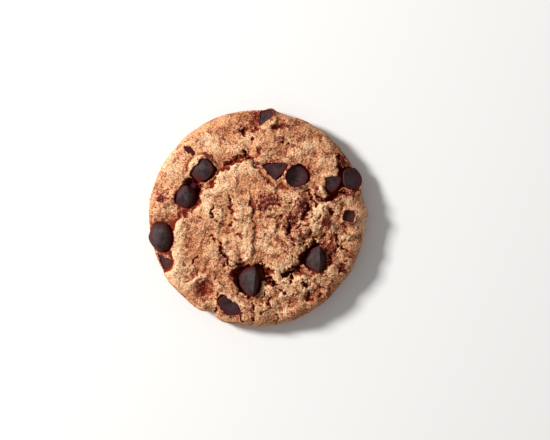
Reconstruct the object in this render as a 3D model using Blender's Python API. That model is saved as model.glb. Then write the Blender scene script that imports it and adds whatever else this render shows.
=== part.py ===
"""Chocolate chip cookie: one baked body of dough and the chocolate chips that show in its top.

Metres, +Z up. The origin is on the table, under the middle of the cookie's outline.
The dough is a closed skin over a flat base. Its top carries the broad forms that baking
leaves: a low crown, ledges where the crust broke into plates, valleys and hollows.
Each chip is a drop of chocolate with a flat base, turned and sunk as it lies, and the
dough has a pocket for it with a thin gap all round.
"""

import math
from collections import namedtuple

import bpy
import numpy as np
from mathutils import Quaternion, Vector

MM = 0.001

# Driving dimensions, in millimetres and degrees.
RADIUS = 38.6           # plain outline of the cookie, before its lobes and notches
CROWN = 12.6            # height of the plain top at its middle
SHOULDER = 9.6          # height where the top starts to roll over into the side
SHOULDER_IN = 4.2       # how far in from the outline the roll starts
ARCH_POWER = 2.4        # how flat the top stays before it drops to the shoulder
BELLY = 4.6             # height at which the side is widest
BASE_IN = 1.7           # how far the base edge lies inside the outline
ARCH_POINTS = 30        # points along the arch of the plain section
ROLL_POINTS = 14        # points along its roll
RELIEF_IN = 5.0         # how far in from the outline ledges and hollows reach their full height
CHIP_GAP = 0.3          # space between a chip and its pocket
TOP_CELLS = 46          # cells across the top sheet
SIDE_ROWS = 3           # rows of faces from the widest line down to the base
CHIP_SEGMENTS = 14      # faces round a chip
CHIP_RINGS = 4          # rings between a chip's base and its tip
CHIP_EDGE = 0.90        # share of the radius that a chip's flat base has, inside its soft edge
CHIP_RING_SPAN = (0.10, 0.93)   # shares of a chip's height at its lowest and highest ring
SHARP_POWERS = (1.8, 1.4)       # inner and outer power of a chip's section with a sharp tip
MELTED_POWERS = (2.2, 0.6)      # and with its tip melted down to a dome
CHIP_CREASE = 50.0      # edges of a chip sharper than this stay crisp

# Outline: (direction, half width, change of radius). The first two are broad and low.
LOBES = (
    (320.0, 34.0, -0.55),
    (150.0, 60.0, 0.30),
    (244.0, 3.5, -1.60),
    (252.0, 5.0, 0.50),
    (215.0, 4.0, 0.35),
    (206.0, 5.0, -0.50),
    (83.0, 2.6, 0.95),
    (71.0, 5.0, -0.35),
    (3.0, 3.0, 0.75),
    (11.0, 4.0, -0.45),
)

# A ledge is a step in the crust along a line of points. The left side of its direction stands
# high by rise, fading over reach, and the right side lies low by sink, fading over hollow.
LEDGE_WIDTH = 0.8
Ledge = namedtuple("Ledge", "points rise reach sink hollow")
LEDGES = (
    # the middle plate, past the two chips at the upper left
    Ledge(((-3.6, 20.6), (-8.6, 18.4), (-13.0, 15.6), (-15.0, 10.2), (-20.4, 8.6)), 0.7, 8.0, 1.3, 4.5),
    # the middle plate over the left rim, down to the outline
    Ledge(((-20.4, 8.6), (-23.4, 3.8), (-28.4, -0.5), (-30.4, -9.5), (-32.6, -21.0)), 0.8, 9.0, 1.8, 5.0),
    # the flap of crust that hangs over the upper end of the lower left valley
    Ledge(((-12.6, -11.5), (-8.6, -16.6), (-2.0, -14.6), (-1.8, -1.0)), 0.7, 6.0, 0.5, 3.0),
    # the upper edge of the bottom rim plate, past both lower chips
    Ledge(((27.6, -14.0), (24.0, -20.4), (12.0, -22.6), (5.0, -27.5), (-1.0, -29.0)), 0.5, 6.0, 1.0, 4.0),
    # the right plate, below the pair of chips at the right rim
    Ledge(((36.8, 9.0), (29.0, 5.6), (22.4, 6.6)), 0.9, 6.0, 1.2, 5.0),
    # the plate with the tip of dough beside the top chip
    Ledge(((6.8, 37.6), (4.6, 34.4), (-1.0, 31.8)), 0.7, 5.0, 0.9, 4.0),
)

# A hollow is a round dip in the top: (x, y, radius, depth).
HOLLOWS = (
    (-35.6, -6.6, 5.4, 1.6),
    (-19.8, -23.4, 3.6, 1.5),
    (20.8, -13.0, 6.4, 1.8),
    (-2.8, -21.8, 7.2, 2.2),
    (11.4, -3.4, 3.0, 0.9),
    (-23.6, 10.6, 6.0, 1.5),
    (-12.6, -26.6, 3.0, 0.8),
)

# Waves: (height, length along x, length along y, shift) of the soft unevenness all over the top.
WAVES = ((0.28, 19.5, 17.0, 0.7), (0.16, 12.0, -9.4, 0.1), (0.12, 8.3, 10.6, 2.4))

# A chip: where the middle of its base is, its base radius and height, how much longer its base
# is along its own X, which way its tip points (tilt from straight up, heading from +X), its turn
# about its own axis, the corners of its outline (none for a round chip), the direction of the
# first from its own X and how sharp they are, and how far its tip has melted down into a dome.
Chip = namedtuple("Chip", "name x y z radius height stretch tilt heading turn corners first sharp melt")
CHIPS = (
    Chip("chip_top_rim", 2.6, 35.9, 9.0, 3.9, 4.6, 1.0, 150.0, 294.0, 54.0, 4, 0.0, 0.6, 0.2),
    Chip("chip_upper_left_outer", -20.0, 17.3, 11.3, 4.1, 5.2, 1.0, 168.0, 30.0, 0.0, 0, 0.0, 0.0, 0.2),
    Chip("chip_upper_left_inner", -25.9, 6.2, 7.0, 4.0, 7.0, 1.0, 48.0, 80.0, 0.0, 0, 0.0, 0.0, 0.7),
    Chip("chip_left_rim", -34.1, -6.5, 6.3, 4.75, 5.1, 1.16, 28.0, 190.0, 90.0, 0, 0.0, 0.0, 1.0),
    Chip("chip_left_rim_low", -33.0, -15.7, 7.4, 3.0, 3.8, 1.35, 150.0, 24.0, 66.0, 3, 0.0, 0.7, 0.2),
    Chip("chip_upper_middle", 6.2, 17.0, 11.8, 3.9, 4.4, 1.45, 177.0, 260.0, 80.0, 3, 90.0, 0.75, 0.2),
    Chip("chip_upper_right_inner", 13.9, 14.8, 11.5, 4.15, 5.4, 1.0, 170.0, 200.0, 0.0, 0, 0.0, 0.0, 0.2),
    Chip("chip_right_outer", 26.5, 12.6, 10.5, 3.8, 4.2, 1.0, 170.0, 120.0, 35.0, 3, 0.0, 0.5, 0.2),
    Chip("chip_right_rim", 33.9, 14.2, 8.0, 4.2, 4.6, 1.0, 144.0, 203.0, 0.0, 0, 0.0, 0.0, 0.2),
    Chip("chip_right_small", 32.7, 0.6, 9.6, 2.7, 3.0, 1.0, 170.0, 180.0, 55.0, 4, 0.0, 0.6, 0.2),
    Chip("chip_lower_right", 20.3, -16.9, 7.2, 5.2, 8.6, 1.0, 60.0, 80.0, 17.0, 3, 180.0, 0.65, 0.4),
    Chip("chip_bottom_middle", -2.8, -18.7, 7.5, 5.2, 10.2, 1.0, 62.0, 273.0, -20.0, 3, 180.0, 0.7, 0.85),
    Chip("chip_bottom_left", -10.0, -31.0, 9.8, 3.6, 4.0, 1.4, 170.0, 90.0, 310.0, 5, 0.0, 0.6, 0.2),
)
SEAT_TILT = 120.0       # chips tilted past this show their base, and the dough is a seat round it
SEAT_DEPTH = 0.4        # how far a seated chip's base stands out of the dough
SEAT_FADE = 1.4         # how far past the base its seat runs out

# Material: (colour, roughness).
DOUGH_FINISH = ((0.52, 0.27, 0.13), 0.85)
CHIP_FINISH = ((0.045, 0.022, 0.016), 0.45)


def clear_scene():
    for obj in list(bpy.data.objects):
        bpy.data.objects.remove(obj)


def make_material(name, colour, roughness):
    material = bpy.data.materials.new(name)
    material.use_nodes = True
    shader = material.node_tree.nodes["Principled BSDF"]
    shader.inputs["Base Color"].default_value = (*colour, 1.0)
    shader.inputs["Roughness"].default_value = roughness
    shader.inputs["Metallic"].default_value = 0.0
    return material


def make_object(name, points, faces, material):
    """A mesh object from points in millimetres."""
    mesh = bpy.data.meshes.new(name)
    mesh.from_pydata((np.asarray(points) * MM).tolist(), [], faces)
    mesh.materials.append(material)
    mesh.shade_smooth()
    obj = bpy.data.objects.new(name, mesh)
    bpy.context.scene.collection.objects.link(obj)
    return obj


def outline_radius(angle):
    """Radius of the outline in a direction, in radians: a circle with bell-shaped lobes."""
    radius = np.full_like(angle, RADIUS)
    for direction, half_width, change in LOBES:
        away = (np.degrees(angle) - direction + 180.0) % 360.0 - 180.0
        radius += change * np.exp(-((away / half_width) ** 2))
    return radius


def plain_profile():
    """(inset from the outline, height) of the plain section, from the middle out to the widest line.

    A flat arch runs from the crown to the shoulder, and a quarter of an ellipse rolls over
    from there to the belly.
    """
    arch = np.linspace(0.0, 1.0, ARCH_POINTS)
    arch_in = RADIUS - (RADIUS - SHOULDER_IN) * arch
    arch_height = CROWN - (CROWN - SHOULDER) * arch**ARCH_POWER
    roll = np.linspace(0.0, math.pi / 2, ROLL_POINTS)[1:]
    roll_in = SHOULDER_IN * (1.0 - np.sin(roll))
    roll_height = BELLY + (SHOULDER - BELLY) * np.cos(roll)
    return np.concatenate([arch_in, roll_in]), np.concatenate([arch_height, roll_height])


def line_distance(x, y, points):
    """(distance, side) from a line of points: side is +1 on its left and -1 on its right."""
    best = np.full(x.shape, np.inf)
    side = np.ones(x.shape)
    for (ax, ay), (bx, by) in zip(points, points[1:]):
        dx, dy = bx - ax, by - ay
        along = np.clip(((x - ax) * dx + (y - ay) * dy) / (dx * dx + dy * dy), 0.0, 1.0)
        away = np.hypot(x - ax - along * dx, y - ay - along * dy)
        left = np.sign(dx * (y - ay) - dy * (x - ax))
        nearer = away < best
        best = np.where(nearer, away, best)
        side = np.where(nearer, left, side)
    return best, side


def relief(x, y):
    """How far ledges, hollows and waves lift the top above its plain form."""
    lift = np.zeros_like(x)
    for ledge in LEDGES:
        away, side = line_distance(x, y, ledge.points)
        high = ledge.rise * np.exp(-((away / ledge.reach) ** 2))
        low = -ledge.sink * np.exp(-((away / ledge.hollow) ** 2))
        step = 0.5 + 0.5 * np.tanh(side * away / LEDGE_WIDTH)
        lift += low + (high - low) * step
    for hx, hy, radius, depth in HOLLOWS:
        lift -= depth * np.exp(-(((x - hx) ** 2 + (y - hy) ** 2) / radius**2))
    for height, along_x, along_y, shift in WAVES:
        lift += height * np.sin(2 * math.pi * (x / along_x + y / along_y) + shift)
        lift += height * np.sin(2 * math.pi * (x / along_y - y / along_x) + 2 * shift)
    return lift


def chip_rotation(chip):
    """The turn that points a chip's tip along its tilt and heading."""
    heading = Quaternion((0.0, 0.0, 1.0), math.radians(chip.heading))
    tilt = Quaternion((0.0, 1.0, 0.0), math.radians(chip.tilt))
    turn = Quaternion((0.0, 0.0, 1.0), math.radians(chip.turn))
    return heading @ tilt @ turn


def with_seats(x, y, z):
    """The top's heights with a flat seat round each chip that shows its base.

    Inside the base the dough follows the base's plane, a little below it, and past its edge
    it fades back to the free top.
    """
    for chip in CHIPS:
        if chip.tilt < SEAT_TILT:
            continue
        facing = -(chip_rotation(chip) @ Vector((0.0, 0.0, 1.0)))
        plane = chip.z - (facing.x * (x - chip.x) + facing.y * (y - chip.y)) / facing.z
        out = np.sqrt((x - chip.x) ** 2 + (y - chip.y) ** 2 + (plane - chip.z) ** 2)
        hold = np.exp(-((np.maximum(out - chip.radius, 0.0) / SEAT_FADE) ** 2))
        z = z + hold * (plane - SEAT_DEPTH - z)
    return z


def square_to_disc(cells):
    """A square grid of points bent into a round sheet: (share of the radius, angle) for each.

    Rings of squares become rings of circles, so the faces stay nearly alike all over.
    """
    ticks = np.linspace(-1.0, 1.0, cells + 1)
    a, b = np.meshgrid(ticks, ticks)
    wide = np.abs(a) >= np.abs(b)
    longer = np.where(wide, a, b)
    share = np.divide(np.where(wide, b, a), longer, out=np.zeros_like(a), where=longer != 0.0)
    angle = np.where(wide, share * math.pi / 4, math.pi / 2 - share * math.pi / 4)
    angle = np.where(longer < 0.0, angle + math.pi, angle)
    return np.abs(longer).ravel(), (angle % (2 * math.pi)).ravel()


def rim_of(cells):
    """Indices of the square grid's border, counter-clockwise."""
    across = cells + 1
    low = list(range(cells))
    right = [i * across + cells for i in range(cells)]
    high = [cells * across + i for i in range(cells, 0, -1)]
    left = [i * across for i in range(cells, 0, -1)]
    return low + right + high + left


def cell_halves(row, column):
    """The two triangles of a cell of the square grid, split along the way to the grid's middle."""
    across = TOP_CELLS + 1
    low_left, high_left = row * across + column, (row + 1) * across + column
    low_right, high_right = low_left + 1, high_left + 1
    if (row < TOP_CELLS / 2) == (column < TOP_CELLS / 2):
        return [(low_left, low_right, high_right), (low_left, high_right, high_left)]
    return [(low_left, low_right, high_left), (low_right, high_right, high_left)]


def top_sheet():
    """Points and faces of the top, out to the widest line."""
    share, angle = square_to_disc(TOP_CELLS)
    inset, height = plain_profile()
    run = np.concatenate([[0.0], np.cumsum(np.hypot(np.diff(inset), np.diff(height)))])
    inset_here = np.interp(share * run[-1], run, inset)
    radius = (RADIUS - inset_here) / RADIUS * outline_radius(angle)
    x, y = radius * np.cos(angle), radius * np.sin(angle)
    free = np.interp(share * run[-1], run, height)
    fade = np.clip((1.0 - share) * run[-1] / RELIEF_IN, 0.0, 1.0)
    z = with_seats(x, y, free + relief(x, y) * fade)
    z = free + (z - free) * np.sqrt(fade)
    faces = []
    for row in range(TOP_CELLS):
        for column in range(TOP_CELLS):
            faces += cell_halves(row, column)
    return np.stack([x, y, z], axis=1), faces


def dough_points():
    """Points and faces of the dough: the top, rows of side under it and one flat base face."""
    top, faces = top_sheet()
    points = [top]
    count = len(top)
    ring = rim_of(TOP_CELLS)
    widest = top[ring]
    angle = np.arctan2(widest[:, 1], widest[:, 0])
    outline = np.hypot(widest[:, 0], widest[:, 1])
    for row in range(1, SIDE_ROWS + 1):
        turn = row / SIDE_ROWS * math.pi / 2
        radius = outline - BASE_IN * (1.0 - math.cos(turn))
        height = np.full(len(ring), BELLY * (1.0 - math.sin(turn)))
        points.append(np.stack([radius * np.cos(angle), radius * np.sin(angle), height], axis=1))
        below = list(range(count, count + len(ring)))
        following = [(i + 1) % len(ring) for i in range(len(ring))]
        faces += [(below[i], below[j], ring[j], ring[i]) for i, j in enumerate(following)]
        ring = below
        count += len(ring)
    faces.append(tuple(reversed(ring)))
    return np.concatenate(points), faces


def chip_outline(chip, turn):
    """Radius of a chip's outline, as a share: round, or a polygon with soft corners."""
    if not chip.corners:
        return 1.0
    wedge = 2 * math.pi / chip.corners
    away = (turn - math.radians(chip.first)) % wedge - wedge / 2
    polygon = math.cos(wedge / 2) / math.cos(away)
    return chip.sharp * polygon + 1.0 - chip.sharp


def chip_points(chip, grow):
    """Points and faces of a chip above the middle of its base, grown all round by grow.

    Its tip is at the top. The radius shrinks with height as a power of one minus a power of
    it, which is slim near a sharp tip and full under a melted one.
    """
    height = chip.height + 2 * grow
    inner, outer = (a + (b - a) * chip.melt for a, b in zip(SHARP_POWERS, MELTED_POWERS))
    shares = np.linspace(*CHIP_RING_SPAN, CHIP_RINGS)
    levels = [(0.0, CHIP_EDGE)] + [(t, (1.0 - t**inner) ** outer) for t in shares]
    points = []
    for t, share in levels:
        for turn in np.linspace(0.0, 2 * math.pi, CHIP_SEGMENTS, endpoint=False):
            out = share * (chip.radius * chip_outline(chip, turn) + grow)
            points.append((out * math.cos(turn) * chip.stretch, out * math.sin(turn), t * height - grow))
    points.append((0.0, 0.0, height - grow))
    around = [(i, (i + 1) % CHIP_SEGMENTS) for i in range(CHIP_SEGMENTS)]
    faces = [tuple(reversed(range(CHIP_SEGMENTS)))]
    last = (len(levels) - 1) * CHIP_SEGMENTS
    for low in range(0, last, CHIP_SEGMENTS):
        high = low + CHIP_SEGMENTS
        faces += [(low + i, low + j, high + j, high + i) for i, j in around]
    faces += [(last + i, last + j, len(points) - 1) for i, j in around]
    return points, faces


def make_chip(chip, name, grow, material, cookie):
    """A chip, or the cutter of its pocket, in its place under the cookie's empty."""
    points, faces = chip_points(chip, grow)
    obj = make_object(name, points, faces, material)
    obj.data.set_sharp_from_angle(angle=math.radians(CHIP_CREASE))
    obj.location = (chip.x * MM, chip.y * MM, chip.z * MM)
    obj.rotation_mode = "QUATERNION"
    obj.rotation_quaternion = chip_rotation(chip)
    obj.parent = cookie
    return obj


def cut_pocket(dough, cutter):
    """Takes the cutter's shape out of the dough, and keeps the cutter as a helper only."""
    cutter.hide_render = True
    cutter.display_type = "WIRE"
    pocket = dough.modifiers.new(cutter.name, "BOOLEAN")
    pocket.operation = "DIFFERENCE"
    pocket.solver = "EXACT"
    pocket.object = cutter


def main():
    clear_scene()
    dough_finish = make_material("baked_dough", *DOUGH_FINISH)
    chip_finish = make_material("dark_chocolate", *CHIP_FINISH)
    points, faces = dough_points()
    middle = (points.min(axis=0) + points.max(axis=0)) / 2
    cookie = bpy.data.objects.new("cookie", None)
    cookie.location = (-middle[0] * MM, -middle[1] * MM, 0.0)
    bpy.context.scene.collection.objects.link(cookie)
    dough = make_object("dough", points, faces, dough_finish)
    dough.parent = cookie
    for chip in CHIPS:
        make_chip(chip, chip.name, 0.0, chip_finish, cookie)
        cut_pocket(dough, make_chip(chip, chip.name + "_pocket", CHIP_GAP, chip_finish, cookie))


main()
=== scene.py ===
"""Chocolate chip cookie: the crumbly dough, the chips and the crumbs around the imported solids.

All tables and shape functions are in millimetres, measured from the middle of the cookie's
plain outline, +X to the right, +Y away and +Z up from the table.
"""

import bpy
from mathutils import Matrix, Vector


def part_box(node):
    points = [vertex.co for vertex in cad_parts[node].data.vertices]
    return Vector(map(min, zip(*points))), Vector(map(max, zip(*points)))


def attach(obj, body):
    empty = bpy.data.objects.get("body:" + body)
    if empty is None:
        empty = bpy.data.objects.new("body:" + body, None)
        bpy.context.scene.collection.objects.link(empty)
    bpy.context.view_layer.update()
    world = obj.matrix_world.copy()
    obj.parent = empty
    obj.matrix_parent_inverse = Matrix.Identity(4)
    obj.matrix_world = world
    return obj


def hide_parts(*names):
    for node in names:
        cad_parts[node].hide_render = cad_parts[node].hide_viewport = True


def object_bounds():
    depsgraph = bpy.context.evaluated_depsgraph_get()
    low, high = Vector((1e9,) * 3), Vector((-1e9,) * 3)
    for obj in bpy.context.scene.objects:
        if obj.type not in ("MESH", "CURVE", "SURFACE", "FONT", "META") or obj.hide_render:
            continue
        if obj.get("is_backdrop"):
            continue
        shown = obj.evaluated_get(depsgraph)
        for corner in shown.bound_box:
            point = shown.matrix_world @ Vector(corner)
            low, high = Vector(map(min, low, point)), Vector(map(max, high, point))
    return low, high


bl_info = {
    "name": "Chocolate Chip Cookie",
    "version": (1, 0, 0),
    "blender": (4, 5, 0),
    "location": "3D View > Sidebar > Cookie",
    "description": "Makes one chocolate chip cookie: crumbly dough, chips, small bits and crumbs",
    "category": "Add Mesh",
}

import math
from collections import namedtuple
from functools import lru_cache

import bpy
import numpy as np
from mathutils import Quaternion, Vector

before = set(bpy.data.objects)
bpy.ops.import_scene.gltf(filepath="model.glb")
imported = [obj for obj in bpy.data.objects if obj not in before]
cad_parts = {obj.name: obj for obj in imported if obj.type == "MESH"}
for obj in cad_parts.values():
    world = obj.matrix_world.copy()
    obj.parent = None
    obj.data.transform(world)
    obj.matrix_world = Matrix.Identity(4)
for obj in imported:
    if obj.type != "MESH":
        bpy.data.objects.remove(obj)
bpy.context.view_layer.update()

MM = 0.001

# ---------------------------------------------------------------- the dough's plain form

RADIUS = 38.6           # plain outline, before its lobes and notches
SHOULDER_DROP = 3.0     # how far the top sinks from its crown to where it rolls over
SHOULDER_IN = 4.2       # how far in from the outline the roll starts
CROWN = 12.6            # height of the plain top at its middle
ARCH_POWER = 2.4        # how flat the top stays before it drops to the shoulder
BELLY = 4.6             # height at which the side is widest
BASE_IN = 1.7           # how far the base edge lies inside the outline
RELIEF_IN = 4.2         # how far in from the outline the relief reaches its full height

# Outline: (direction in degrees, half width, change of radius).
LOBES = (
    (320, 34, -0.55), (150, 60, 0.3), (244, 3.5, -1.6), (252, 5, 0.5), (215, 4, 0.35),
    (206, 5, -0.5), (83, 2.6, 0.95), (71, 5, -0.35), (3, 3, 0.75), (11, 4, -0.45),
)

# ---------------------------------------------------------------- the crust's broken forms

# A ledge is a step in the crust along a line. The left of its direction stands high by rise,
# fading over reach, and the right lies low by sink, fading over hollow.
Ledge = namedtuple("Ledge", "points rise reach sink hollow")
LEDGES = (
    # the middle plate, past the two chips at the upper left and down over the left rim
    Ledge(((-3, 20.9), (-8.7, 18.7), (-13.1, 16.6), (-15.2, 13.3), (-16.3, 11.2), (-20.1, 9.5)),
          0.75, 7, 1.05, 4),
    Ledge(((-20.1, 9.5), (-20.2, 5.7), (-22.6, 3.6), (-26.5, 0.2), (-28.8, -1), (-30, -5),
           (-31.2, -10), (-30, -12.5), (-30.2, -15.5), (-33, -19.4)), 0.9, 6, 1.7, 5),
    # the fold that runs down from the top of the middle plate
    Ledge(((5.4, 11.2), (1.6, 15), (-3, 20.4)), 0.35, 4, 0.45, 3),
    # the pale flap of crust over the upper end of the lower left valley
    Ledge(((-13.1, -8.3), (-13.1, -11.1), (-10.9, -15.4), (-9, -16.6), (-2.2, -14.2), (-1.9, -8),
           (-2.5, 7.9)), 0.4, 5, 0.35, 3),
    # the right plate, below the pair of chips at the right rim
    Ledge(((36.6, 11), (30.8, 9.6), (27, 7.6), (24.3, 6), (21.9, 7.2)), 0.9, 5, 1.5, 2.6),
    # the plate with the tip of dough beside the top chip
    Ledge(((7, 38.2), (4.7, 34.6), (2, 32.4), (-1.6, 30.6)), 0.7, 4.5, 0.8, 3),
    # the bottom rim plate, past both lower chips
    Ledge(((27.6, -14), (24, -19.6), (17, -20.8), (10.8, -21.4)), 0.6, 5, 0.8, 3),
    Ledge(((8.6, -26.2), (4.6, -29.8), (-1, -30.4), (-3.4, -27.6)), 0.35, 3.5, 0.5, 2.5),
    # the lower left valley floor's edge beside the crater
    Ledge(((-13.6, -22.6), (-16.2, -20.2), (-20, -19.2), (-23.6, -22)), 0.4, 3.5, 0.5, 2.5),
)

# A crack is a narrow groove along a line: (points, half width, depth).
CRACKS = (
    # right of the middle
    (((2.7, 0.8), (5.8, 0.4), (9, 0.6)), 0.3, 1),
    (((6.3, 9.2), (7.2, 7), (8.4, 4.4)), 0.35, 1),
    (((11, -2.6), (11.3, -4.2)), 1, 2.4),
    (((11.6, -6), (13, -9.4)), 0.35, 0.9),
    (((12.8, 0.4), (13.6, -0.9), (12.3, -2.2)), 0.3, 0.9),
    (((13.5, -3.6), (15.4, -2.4), (18, -2.7)), 0.35, 1.1),
    (((13.2, -9.4), (16.2, -9.2), (19.4, -8.4)), 0.35, 1.1),
    (((19.2, -5.8), (20.2, -8), (21.6, -9), (23.6, -5.8)), 0.45, 1.6),
    (((21.6, -9), (19, -11.4), (16.8, -14.4), (15.4, -16.8), (12.6, -18.8),
      (10.2, -20.3)), 1.2, 3),
    (((12.2, -19.6), (12.3, -22.4)), 0.5, 1.8),
    (((22.4, -9.4), (24.5, -11.5), (26.2, -14.6)), 0.55, 2.2),
    (((27.5, -5), (28.4, -8), (27.3, -11.2)), 0.35, 1.2),
    (((29.4, -9.6), (32.8, -12.2)), 0.3, 1),
    (((29, -19.4), (30.4, -17.6), (31.6, -15.4)), 0.5, 1.2),
    (((18.3, 9), (19.6, 6.6), (20.8, 4.8)), 0.35, 1.2),
    (((15.6, 8.8), (18.6, 9.4)), 0.3, 1),
    (((17.6, 4.2), (17.6, 2), (16.7, 0.2)), 0.9, 2.2),
    (((25.6, 3.6), (26.3, 1.6)), 0.5, 1.2),
    (((21.6, 7.6), (23.6, 6.4), (26.4, 7.4), (30.8, 9.6), (35.7, 10.6)), 0.75, 2.6),
    (((29.6, 18.4), (30.4, 14.6), (30, 11.2)), 0.8, 2.4),
    (((29, 22.4), (29, 18.4)), 0.5, 1.6),
    # left of the middle
    (((-25.2, 12.6), (-22.4, 13.6), (-20.8, 11.2), (-20.2, 8.6)), 1.1, 3),
    (((-15.6, 4.2), (-15.9, 1.8), (-16.7, 0.4)), 0.35, 1.1),
    (((-15.8, 0.4), (-14.2, -1.6), (-11.5, -2.2), (-9.4, -2.6)), 0.3, 1),
    (((-16.4, -5.4), (-15.2, -7), (-15, -8.4)), 0.3, 1),
    (((-13.1, -8.4), (-12.8, -10.6), (-13.3, -12.6), (-11.8, -13.8), (-10.5, -15.8)), 0.65, 2),
    (((-12.2, -16.8), (-9.4, -17.1), (-7.9, -16.4), (-5.2, -16)), 0.35, 1.4),
    (((-9.6, 7.4), (-9.6, 5), (-9.2, 2)), 0.3, 0.9),
    (((-7.9, 0.4), (-7.6, -1)), 0.35, 1.3),
    (((-6.9, -5.6), (-5.6, -7.2)), 0.4, 1.2),
    (((-21.6, -13.6), (-23.6, -16.6)), 0.4, 0.9),
    (((-2.4, 7.4), (-1.6, 4.4), (-1.8, 1.2)), 0.5, 0.5),
    # along the top
    (((-4.6, 23.6), (-3.6, 22)), 0.9, 2.4),
    (((-3.6, 22), (-6.4, 21.8), (-8.8, 20.4), (-11.6, 19.4)), 0.35, 1),
    (((-3, 21.4), (-1.6, 20.8), (0.6, 19.2)), 0.3, 1),
    (((-5, 32.2), (-5.6, 30)), 0.7, 1.8),
    (((5.4, 32.6), (8.6, 31.9)), 0.7, 0.8),
    (((8.2, 28.8), (9.4, 26.9)), 0.3, 1),
    (((10.8, 26.4), (12, 26.6)), 0.3, 0.8),
    (((4.8, 20.3), (8, 20.5)), 0.3, 0.8),
    (((-1.6, 28.6), (-2, 26.2)), 0.3, 0.9),
    (((0.2, 22.4), (0.4, 24.2), (1.6, 24.8)), 0.3, 0.8),
    # along the bottom
    (((-6.4, -17.4), (-8, -19.6), (-7.6, -22), (-5.8, -25.2), (-3.2, -28)), 0.8, 1.8),
    (((1.4, -17.2), (3, -18.8), (4.3, -20.8), (6, -22.9)), 1.4, 3.2),
    (((5.6, -22.8), (8, -24.2), (9.4, -27)), 0.35, 1.2),
    (((2.9, -25.2), (1.6, -27.6)), 0.4, 1.4),
    (((15.4, -23.4), (17, -23.8), (17.9, -24.6)), 0.35, 1.3),
    (((18.2, -26.4), (18.4, -29)), 0.5, 1.2),
    (((4.2, -28.4), (3.7, -30.2), (4.8, -31.8)), 0.4, 1.4),
    (((3.4, -32), (1.4, -34.2)), 0.35, 1.2),
    (((-1.5, -30.8), (-1.7, -33.2)), 0.4, 1.2),
    (((-1.4, -35.6), (-1.7, -38)), 0.45, 1.4),
    (((-5.4, -34.8), (-5.5, -36.4)), 0.3, 1),
    (((6.3, -34.2), (7.2, -35.8)), 0.3, 0.9),
    (((-15.2, -33.8), (-14.1, -30.6), (-14.1, -26.8)), 0.4, 1.4),
)

# A hollow is a round dip in the top, or a lump where its depth is below 0: (x, y, radius, depth).
HOLLOWS = (
    (22.9, 10.2, 1.5, -1.3), (24.4, 8.6, 1, -0.8), (-35.6, -6.6, 5.4, 1.4), (-19.4, -25, 3, 1.7),
    (-16.8, -23.6, 3.2, 0.9), (20.8, -12.6, 5.6, 1.9), (-2.8, -21.8, 6, 2),
    (-5.4, -15.8, 1.6, 0.8), (11.1, -3.5, 1.3, 1.9), (-22.6, 9.4, 4.6, 1.6),
    (-12.6, -26.6, 3, 0.7), (17, -23.6, 0.8, 1.2), (18, -27, 0.9, 1.3), (19.5, -28.8, 0.8, 1.1),
    (22.7, -27.5, 0.7, 1), (29.7, -18.6, 0.8, 1.2), (-5.2, 31, 0.9, 1.3), (8, 33, 2.2, 0.6),
    (17.6, 4.6, 1.1, 1.2), (26.4, 2.2, 1, 1),
)

# ---------------------------------------------------------------- the crust's colours by place

# A patch is a soft oval: (x, y, half length along X, half length along Y, strength).
# Some pale patches paint light: those on the right rim, which rolls away from the key light, beside the
# upper left outer chip's ledge and beside the crater on the lower left lighten crust that lies in shade.
PALE_PATCHES = (
    (-18, 6.5, 2.8, 3.6, 0.9), (-12.6, 12.6, 3.6, 3, 0.8), (-13, 1.4, 2, 2.6, 0.7),
    (-5, 4.6, 2, 3.2, 0.8), (-5.2, -11.4, 2.2, 3.8, 1), (-9.4, -11.6, 1.4, 3.4, 0.8),
    (-28.4, -6, 1.8, 6.4, 1), (-30.4, -16, 2.6, 3, 0.7), (-4.2, -2, 1.4, 3, 0.6),
    (-28.4, 21.6, 5, 6, 1), (-18.8, 27.2, 4.6, 4.6, 0.9), (-14.2, 17.6, 1.7, 1.8, 0.8),
    (-32, 15, 4, 6, 0.5), (-7.5, 17.5, 4, 2.6, 0.7), (-30.5, 2.6, 1.6, 2.2, 0.7),
    (3.6, -7.4, 4.2, 5.2, 0.6), (11.6, 7.6, 3, 2.2, 0.8), (20.4, 2, 1.8, 3.4, 0.9),
    (20.6, -3.6, 1.6, 2, 0.7), (23.6, 4, 1, 1.6, 0.7), (32.6, 5.8, 3, 2.4, 0.6),
    (35.6, -2.8, 3, 5.4, 1), (31, -12, 2.2, 4, 0.35), (18.4, 23.6, 3.6, 4, 0.95),
    (10.5, 26, 5, 4, 0.4), (8, 21.6, 4, 1.4, 0.5), (-3.6, 29.4, 1.6, 2, 0.6),
    (-8, 24.4, 3, 1.4, 0.3), (-28, -22, 5, 4, 0.7), (-25.4, -19.4, 3.6, 2.8, 1),
    (8.6, -18, 2.2, 2, 0.9), (-6, -30.4, 1.4, 3.4, 0.8), (2, -23.8, 1.5, 2.2, 0.9),
    (13.6, -21.2, 3, 1.2, 0.6), (7.2, -32.2, 3.4, 3.2, 0.9), (-9.6, -35.6, 3, 1.2, 0.7),
    (12, -25.4, 3, 1.6, 0.4), (16, -27.6, 2.4, 2.2, 0.8), (27.6, 17, 2.2, 1, 0.5),
    (22.9, 10.2, 1.4, 1.2, 0.8),
)
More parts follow.
